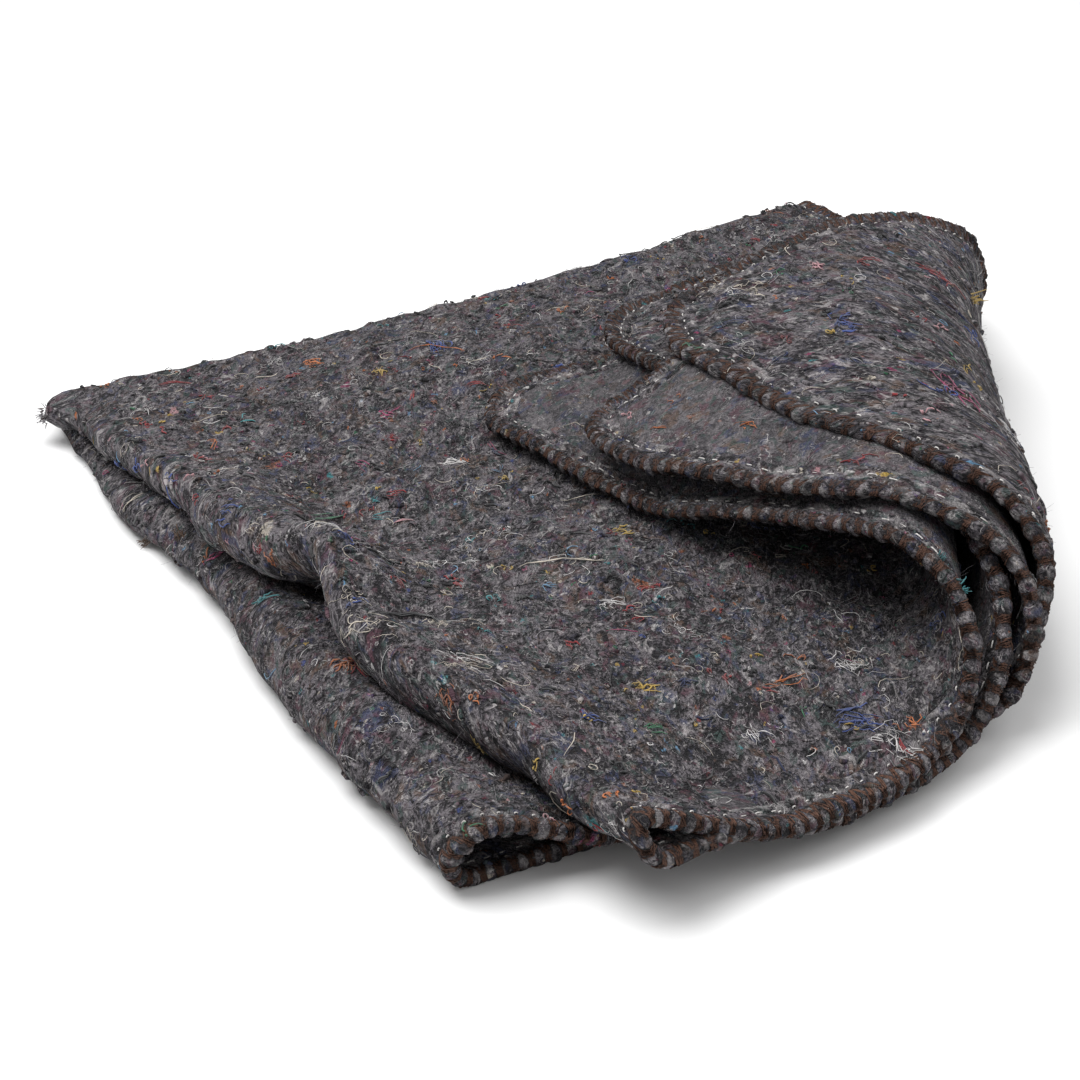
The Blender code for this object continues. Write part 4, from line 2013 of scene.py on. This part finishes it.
SHIFTS = (
    Shift((0.004, 0.002), (0.009, 0.009), (-0.0105, 0.0055, -0.0035)),
    Shift((0.004, 0.15), (0.05, 0.035), (-0.0035, 0.0, 0.0)),
    Shift((0.004, 0.255), (0.05, 0.05), (0.0085, 0.0, 0.0)),
    Shift((0.385, 0.4925), (0.07, 0.07), (-0.006, -0.0098, 0.002)),
    Shift((0.27, -0.4925), (0.055, 0.055), (0.0028, 0.0029, 0.0075)),
    Shift((0.36, -0.4925), (0.055, 0.08), (-0.003, -0.0006, -0.0042)),
    Shift((0.2, -0.4925), (0.05, 0.08), (-0.0018, 0.002, 0.0004)),
    Shift((0.44, -0.4925), (0.05, 0.1), (0.001, -0.0004, 0.0003)),
    Shift((-0.35, 0.4925), (0.06, 0.1), (0.0011, 0.0003, 0.002)),
    Shift((-0.42, 0.4925), (0.05, 0.1), (0.0013, 0.0006, 0.0025)),
    Shift((-0.27, 0.4925), (0.06, 0.1), (0.0033, -0.0068, -0.0045)),
    Shift((0.4925, 0.35), (0.1, 0.06), (-0.0015, 0.0014, 0.0)),
    Shift((0.4925, 0.25), (0.1, 0.06), (-0.0035, 0.0051, 0.0036)),
    Shift((0.4925, 0.43), (0.1, 0.06), (0.0015, 0.0004, 0.0039)),
    Shift((0.42, 0.4925), (0.06, 0.1), (0.0011, -0.0038, -0.004)),
    Shift((0.34, 0.4925), (0.06, 0.1), (0.0047, -0.0055, -0.0018)),
    Shift((0.27, 0.4925), (0.06, 0.1), (-0.0013, 0.0025, 0.0017)),
    Shift((-0.4925, -0.3), (0.1, 0.06), (-0.004, -0.007, -0.006)),
    Shift((-0.4925, -0.2), (0.1, 0.06), (-0.002, -0.004, -0.004)),
    Shift((0.4925, -0.3), (0.1, 0.06), (-0.004, -0.007, -0.005)),
    Shift((0.4925, -0.2), (0.1, 0.06), (-0.004, -0.007, -0.006)),
    Shift((-0.265, -0.4925), (0.095, 0.1), (0.026, 0.033, 0.0)),
    Shift((-0.04, -0.4925), (0.035, 0.06), (0.004, 0.0065, 0.0045)),
    Shift((-0.11, -0.4925), (0.055, 0.07), (0.002, 0.003, -0.005)),
    Shift((0.05, -0.4925), (0.035, 0.05), (0.0, 0.0, -0.005)),
    Shift((0.115, -0.4925), (0.06, 0.06), (-0.007, -0.0115, -0.0045)),
    Shift((0.004, -0.185), (0.05, 0.035), (-0.006, 0.0, 0.0)),
    Shift((0.004, -0.275), (0.05, 0.027), (0.01, 0.012, 0.009)),
    Shift((0.004, -0.335), (0.06, 0.045), (-0.012, 0.0, 0.0)),
    Shift((0.004, -0.48), (0.05, 0.04), (-0.01, 0.0, 0.0)),
    Shift((0.026, -0.15), (0.009, 0.012), (0.0, 0.0, -0.0035)),
    Shift((0.016, -0.176), (0.01, 0.01), (0.003, 0.0, -0.002)),
    Shift((0.04, -0.165), (0.011, 0.012), (0.0, 0.0, 0.0025)),
    Shift((0.034, -0.319), (0.018, 0.01), (0.0, 0.0, -0.0035)),
    Shift((0.028, -0.215), (0.026, 0.05), (0.0, 0.0, 0.004)),
    Shift((0.07, -0.18), (0.017, 0.05), (0.0, 0.0, -0.004)),
    Shift((0.092, -0.24), (0.017, 0.05), (0.0, 0.0, -0.004)),
    Shift((0.04, -0.33), (0.03, 0.04), (0.0, 0.0, 0.003)),
)

FIBRE_KINDS = (
    FibreKind("fibres", Shade.CREAM, 380, (0.005, 0.026), 0.00019),
    FibreKind("fibres", Shade.WHITE, 460, (0.004, 0.020), 0.00017),
    FibreKind("fibres", Shade.ASH, 200, (0.004, 0.024), 0.00018),
    FibreKind("fibres", Shade.BLACK, 560, (0.005, 0.026), 0.00032),
    FibreKind("fibres", Shade.NAVY, 120, (0.005, 0.026), 0.00024),
    FibreKind("fibres", Shade.SKY, 40, (0.004, 0.018), 0.00026),
    FibreKind("fibres", Shade.MAGENTA, 50, (0.003, 0.016), 0.00024),
    FibreKind("wisps", Shade.WHITE, 620, (0.004, 0.012), 0.00014, 14, 0.0024),
    FibreKind("wisps", Shade.CREAM, 266, (0.004, 0.012), 0.00014, 14, 0.0024),
    # These black shreds stand in for the shade of small hollows and cuts in the felt: dark marks of painted
    # shade.
    FibreKind("shreds", Shade.BLACK, 660, (0.003, 0.010), 0.00065, 3, 0.0014),
    FibreKind("shreds", Shade.NAVY, 60, (0.003, 0.009), 0.00050, 3, 0.0012),
    FibreKind("shreds", Shade.RED, 270, (0.002, 0.009), 0.00042, 3, 0.0010),
    FibreKind("shreds", Shade.ORANGE, 80, (0.002, 0.008), 0.00042, 4, 0.0012),
    FibreKind("shreds", Shade.OCHRE, 99, (0.002, 0.007), 0.00042, 3, 0.0011),
    FibreKind("shreds", Shade.TEAL, 56, (0.003, 0.010), 0.00034, 4, 0.0010),
    FibreKind("shreds", Shade.ROYAL, 120, (0.003, 0.011), 0.00042, 5, 0.0016),
    FibreKind("shreds", Shade.GREEN, 45, (0.002, 0.009), 0.00038, 3, 0.0010),
    FibreKind("shreds", Shade.RUST, 90, (0.002, 0.008), 0.00042, 3, 0.0012),
    FibreKind("shreds", Shade.PINK, 48, (0.002, 0.007), 0.00042, 4, 0.0011),
)


STRANDS = {
    Shade.ROYAL: (
        Strand(16, 0.0022, 0.0003, ((0.2, -0.05), (0.189, -0.075))),
        Strand(14, 0.0022, 0.00024, ((0.13, -0.455), (0.139, -0.456), (0.146, -0.464), (0.146, -0.468))),
        Strand(8, 0.001, 0.00024, ((0.041, -0.411), (0.048, -0.41), (0.051, -0.414))),
        Strand(16, 0.0018, 0.00027, ((0.423, 0.44), (0.421, 0.434))),
        Strand(6, 0.001, 0.00024, ((0.009, -0.197), (0.011, -0.213))),
    ),
    Shade.ORANGE: (
        Strand(2, 0.0005, 0.00025, ((0.179, -0.053), (0.191, -0.058), (0.198, -0.071), (0.199, -0.085))),
        Strand(13, 0.0016, 0.00024, ((0.132, -0.028), (0.134, -0.035))),
        Strand(8, 0.0009, 0.00024, ((0.14, -0.181), (0.142, -0.182))),
        Strand(10, 0.0009, 0.00027, ((0.003, -0.243), (0.002, -0.245))),
        Strand(6, 0.0013, 0.00021, ((0.123, -0.42), (0.13, -0.423), (0.141, -0.426), (0.146, -0.428))),
        Strand(11, 0.0018, 0.00024, ((0.158, -0.47), (0.16, -0.48))),
        Strand(6, 0.0012, 0.00021, ((-0.413, 0.46), (-0.408, 0.458)), Face.SMOOTH),
        Strand(6, 0.0012, 0.00021, ((-0.402, 0.489), (-0.394, 0.489))),
        Strand(3, 0.0005, 0.0003, ((0.044, -0.095), (0.049, -0.097), (0.04, -0.107))),
        Strand(13, 0.0015, 0.00027, ((-0.016, 0.361), (-0.022, 0.361), (-0.019, 0.367))),
        Strand(3, 0.001, 0.0003, ((-0.447, 0.47), (-0.443, 0.468)), Face.SMOOTH),
    ),
    Shade.OCHRE: (
        Strand(13, 0.0018, 0.0003, ((0.157, -0.066), (0.155, -0.077))),
        Strand(8, 0.0008, 0.00024, ((0.144, -0.209), (0.146, -0.211))),
        Strand(13, 0.0018, 0.00024, ((0.081, -0.397), (0.087, -0.401))),
        Strand(10, 0.0015, 0.00024, ((0.152, -0.282), (0.16, -0.286))),
        Strand(3, 0.0014, 0.00025, ((0.395, 0.397), (0.391, 0.399))),
        Strand(6, 0.001, 0.00021, ((-0.002, -0.387), (-0.002, -0.389))),
    ),
    Shade.RED: (
        Strand(10, 0.001, 0.00024, ((0.115, -0.04), (0.124, -0.042))),
        Strand(8, 0.0007, 0.00024, ((0.157, -0.106), (0.152, -0.114), (0.148, -0.118))),
        Strand(3, 0.0005, 0.00034, ((0.18, -0.117), (0.189, -0.123))),
        Strand(10, 0.001, 0.00024, ((0.117, -0.145), (0.12, -0.146))),
        Strand(10, 0.0012, 0.00021, ((0.066, -0.128), (0.07, -0.134))),
        Strand(11, 0.0014, 0.00027, ((0.071, -0.283), (0.073, -0.29))),
        Strand(8, 0.001, 0.00024, ((0.041, -0.292), (0.043, -0.296))),
        Strand(6, 0.0012, 0.00021, ((0.089, -0.191), (0.097, -0.195))),
        Strand(3, 0.0007, 0.00034, ((0.123, -0.424), (0.128, -0.428))),
        Strand(3, 0.0006, 0.00034, ((0.146, -0.476), (0.144, -0.48), (0.144, -0.486))),
        Strand(13, 0.0022, 0.00024, ((0.447, 0.361), (0.446, 0.349))),
        Strand(3, 0.0008, 0.0003, ((0.452, 0.391), (0.452, 0.381), (0.45, 0.377))),
        Strand(8, 0.0011, 0.00024, ((-0.353, 0.474), (-0.349, 0.474)), Face.SMOOTH),
        Strand(3, 0.0005, 0.0003, ((0.053, -0.006), (0.064, -0.007), (0.073, -0.016))),
        Strand(8, 0.001, 0.00024, ((0.061, -0.079), (0.063, -0.087))),
        Strand(10, 0.0016, 0.00024, ((-0.024, 0.359), (-0.021, 0.373))),
        Strand(6, 0.001, 0.00021, ((0.138, -0.336), (0.138, -0.342))),
        Strand(6, 0.001, 0.00021, ((0.081, -0.353), (0.083, -0.359))),
        Strand(6, 0.0009, 0.00021, ((0.424, -0.042), (0.427, -0.05))),
    ),
    Shade.MAGENTA: (
        Strand(11, 0.0014, 0.00024, ((0.132, -0.117), (0.136, -0.122))),
        Strand(3, 0.0006, 0.0003, ((0.093, -0.154), (0.095, -0.166))),
        Strand(2, 0.0005, 0.0003, ((0.162, -0.172), (0.159, -0.184), (0.164, -0.189))),
        Strand(10, 0.0032, 0.00021, ((0.391, 0.424), (0.381, 0.434), (0.375, 0.442))),
        Strand(8, 0.0014, 0.00024, ((-0.004, 0.233), (-0.009, 0.237))),
    ),
    Shade.WHITE: (
        Strand(19, 0.0016, 0.00012, ((0.124, -0.18), (0.134, -0.181), (0.137, -0.188))),
        Strand(10, 0.0016, 0.00012, ((0.009, -0.265), (0.016, -0.268), (0.024, -0.266), (0.023, -0.275))),
        Strand(13, 0.0016, 0.00012, ((0.074, -0.263), (0.076, -0.269))),
        Strand(11, 0.0014, 0.00012, ((0.088, -0.267), (0.089, -0.274))),
        Strand(22, 0.0024, 0.00012, ((0.16, -0.429), (0.168, -0.431), (0.169, -0.438))),
        Strand(26, 0.003, 0.00012, ((0.14, -0.472), (0.146, -0.478), (0.146, -0.487))),
        Strand(16, 0.0018, 0.00012, ((0.108, -0.439), (0.104, -0.448))),
        Strand(13, 0.0016, 0.00012, ((0.472, 0.456), (0.47, 0.45))),
        Strand(16, 0.0024, 0.00012, ((0.032, -0.353), (0.034, -0.359))),
        Strand(14, 0.002, 0.00012, ((0.113, -0.334), (0.115, -0.342))),
    ),
    Shade.SKY: (
        Strand(2, 0.0005, 0.00025, ((0.144, -0.198), (0.146, -0.205), (0.152, -0.199), (0.154, -0.193))),
        Strand(6, 0.001, 0.00021, ((0.103, -0.31), (0.104, -0.316))),
    ),
    Shade.GREEN: (
        Strand(3, 0.001, 0.0003, ((0.04, -0.216), (0.052, -0.205), (0.063, -0.195))),
        Strand(6, 0.0012, 0.00021, ((0.063, -0.421), (0.076, -0.425))),
        Strand(11, 0.0013, 0.00024, ((0.452, 0.491), (0.45, 0.488))),
    ),
    Shade.TEAL: (
        Strand(3, 0.0008, 0.00025, ((0.076, -0.202), (0.084, -0.207))),
        Strand(6, 0.0009, 0.00021, ((0.083, -0.192), (0.085, -0.193))),
        Strand(8, 0.0012, 0.00021, ((-0.008, 0.288), (-0.014, 0.29))),
        Strand(6, 0.001, 0.00021, ((0.057, -0.334), (0.061, -0.335))),
    ),
    Shade.PINK: (
        Strand(3, 0.0005, 0.0003, ((0.082, -0.211), (0.088, -0.212), (0.093, -0.215))),
        Strand(11, 0.0011, 0.00024, ((0.462, 0.409), (0.459, 0.408))),
    ),
    Shade.CREAM: (
        Strand(2, 0.0005, 0.00025, ((0.009, -0.233), (0.01, -0.227), (0.012, -0.227), (0.012, -0.233))),
        Strand(13, 0.0014, 0.00012, ((0.067, -0.265), (0.065, -0.272))),
        Strand(1, 0.0002, 0.0003, ((0.035, -0.416), (0.028, -0.424), (0.015, -0.435))),
        Strand(2, 0.0004, 0.00025, (
            (0.1, -0.29), (0.107, -0.292), (0.118, -0.298), (0.128, -0.305), (0.138, -0.306),
        )),
        Strand(14, 0.0026, 0.00012, ((0.468, 0.446), (0.466, 0.438))),
        Strand(3, 0.001, 0.00025, ((0.005, 0.157), (-0.002, 0.156), (-0.007, 0.154))),
        Strand(13, 0.0026, 0.00012, ((0.012, -0.322), (0.015, -0.329))),
        Strand(2, 0.0004, 0.00025, ((0.071, -0.369), (0.072, -0.374), (0.067, -0.377), (0.069, -0.373))),
    ),
    Shade.BLACK: (
        Strand(11, 0.0014, 0.0003, ((0.098, -0.071), (0.099, -0.081))),
        Strand(10, 0.0016, 0.0003, ((0.069, -0.174), (0.077, -0.174))),
        Strand(10, 0.0014, 0.0003, ((0.088, -0.31), (0.091, -0.316))),
        # This thick black thread lies along the crease by the upper pair's fold and stands in for its
        # shadow: painted shade.
        Strand(3, 0.0005, 0.00051, (
            (0.018, -0.322), (0.03, -0.318), (0.041, -0.314), (0.047, -0.317), (0.043, -0.332),
        )),
        Strand(13, 0.0015, 0.00036, ((0.136, -0.445), (0.138, -0.448))),
        Strand(10, 0.0012, 0.0003, ((0.027, -0.14), (0.038, -0.127))),
    ),
    Shade.NAVY: (
        Strand(8, 0.001, 0.00024, ((0.095, -0.406), (0.101, -0.407))),
        Strand(2, 0.0005, 0.00034, ((0.089, -0.422), (0.092, -0.426), (0.099, -0.426))),
        Strand(2, 0.0003, 0.0003, ((0.097, -0.454), (0.1, -0.457), (0.097, -0.466))),
    ),
    Shade.RUST: (
        Strand(11, 0.0016, 0.00027, ((0.007, -0.373), (0.006, -0.377))),
    ),
}

TUFTS = {
    Shade.ASH: (
        Tuft((0.0045, 0.0021), 0.0045, 30, 0.00035),
        Tuft((0.15, 0.026), 0.006, 12),
        Tuft((0.29, 0.026), 0.005, 12),
    ),
    Shade.BROWN: (
        Tuft((0.0045, 0.003), 0.004, 16, 0.00035),
        Tuft((-0.0021, 0.205), 0.006, 20, 0.0005),
        Tuft((0.008, 0.18), 0.006, 10),
        Tuft((0.21, 0.026), 0.006, 12),
        Tuft((0.36, 0.026), 0.005, 12),
    ),
    Shade.OCHRE: (
        Tuft((0.442, 0.3239), 0.007, 16),
    ),
    Shade.RED: (
        Tuft((-0.0629, 0.4873), 0.0035, 24, 0.0006, face=Face.SMOOTH),
    ),
    Shade.ROYAL: (
        Tuft((0.3712, -0.4893), 0.004, 14),
        Tuft((0.2978, 0.483), 0.004, 16, face=Face.SMOOTH),
    ),
    Shade.TEAL: (
        Tuft((0.2212, -0.485), 0.004, 16, face=Face.SMOOTH),
        Tuft((0.212, -0.486), 0.004, 16, face=Face.SMOOTH),
    ),
}


def main() -> None:
    """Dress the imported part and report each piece."""
    logging.basicConfig(level=logging.INFO, format="%(name)s: %(message)s")
    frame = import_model()
    node = next(iter(frame["nodes"]))

    cloth = FoldedCloth(nudges=NUDGES, shifts=SHIFTS)
    felt = FeltFinish().material()
    brown = YarnFinish("brown_yarn", (0.018, 0.009, 0.007, 1.0), (0.112, 0.056, 0.038, 1.0))
    white = YarnFinish("white_thread", (0.34, 0.32, 0.31, 1.0), (0.66, 0.64, 0.62, 1.0))

    sheet, rim = FeltSheet(cloth), EdgeRoll(cloth)
    cloth_piece = sheet.build(felt)
    yarn = brown.material()
    sewn = [rim.build(FeltFinish().rim_material(brown))]
    sewn += [EdgeYarn(cloth, rim).build(slant, yarn) for slant in (1, -1)]
    sewn.append(NeedleThread(cloth, rim).build(white.material()))
    surface = Surface(cloth, sheet, OpenSurface(cloth))
    sewn += [LooseFibres(surface).build(kind) for kind in FIBRE_KINDS]
    sewn += [LaidStrands(surface).build(shade, STRANDS[shade]) for shade in Shade if shade in STRANDS]
    sewn += [Tufts(surface).build(shade, TUFTS[shade]) for shade in Shade if shade in TUFTS]
    sewn.append(FeltNubs(surface).build(felt))
    sewn.append(SurfaceFuzz(surface).build(FibreFinish(Shade.ASH).material()))
    for piece in (cloth_piece, *sewn):
        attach(piece, "root")
        piece.data.update()
        LOG.info("%s: %d faces", piece.name, len(piece.data.polygons))
    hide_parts(node)

    Studio().build()


if __name__ == "__main__":
    main()
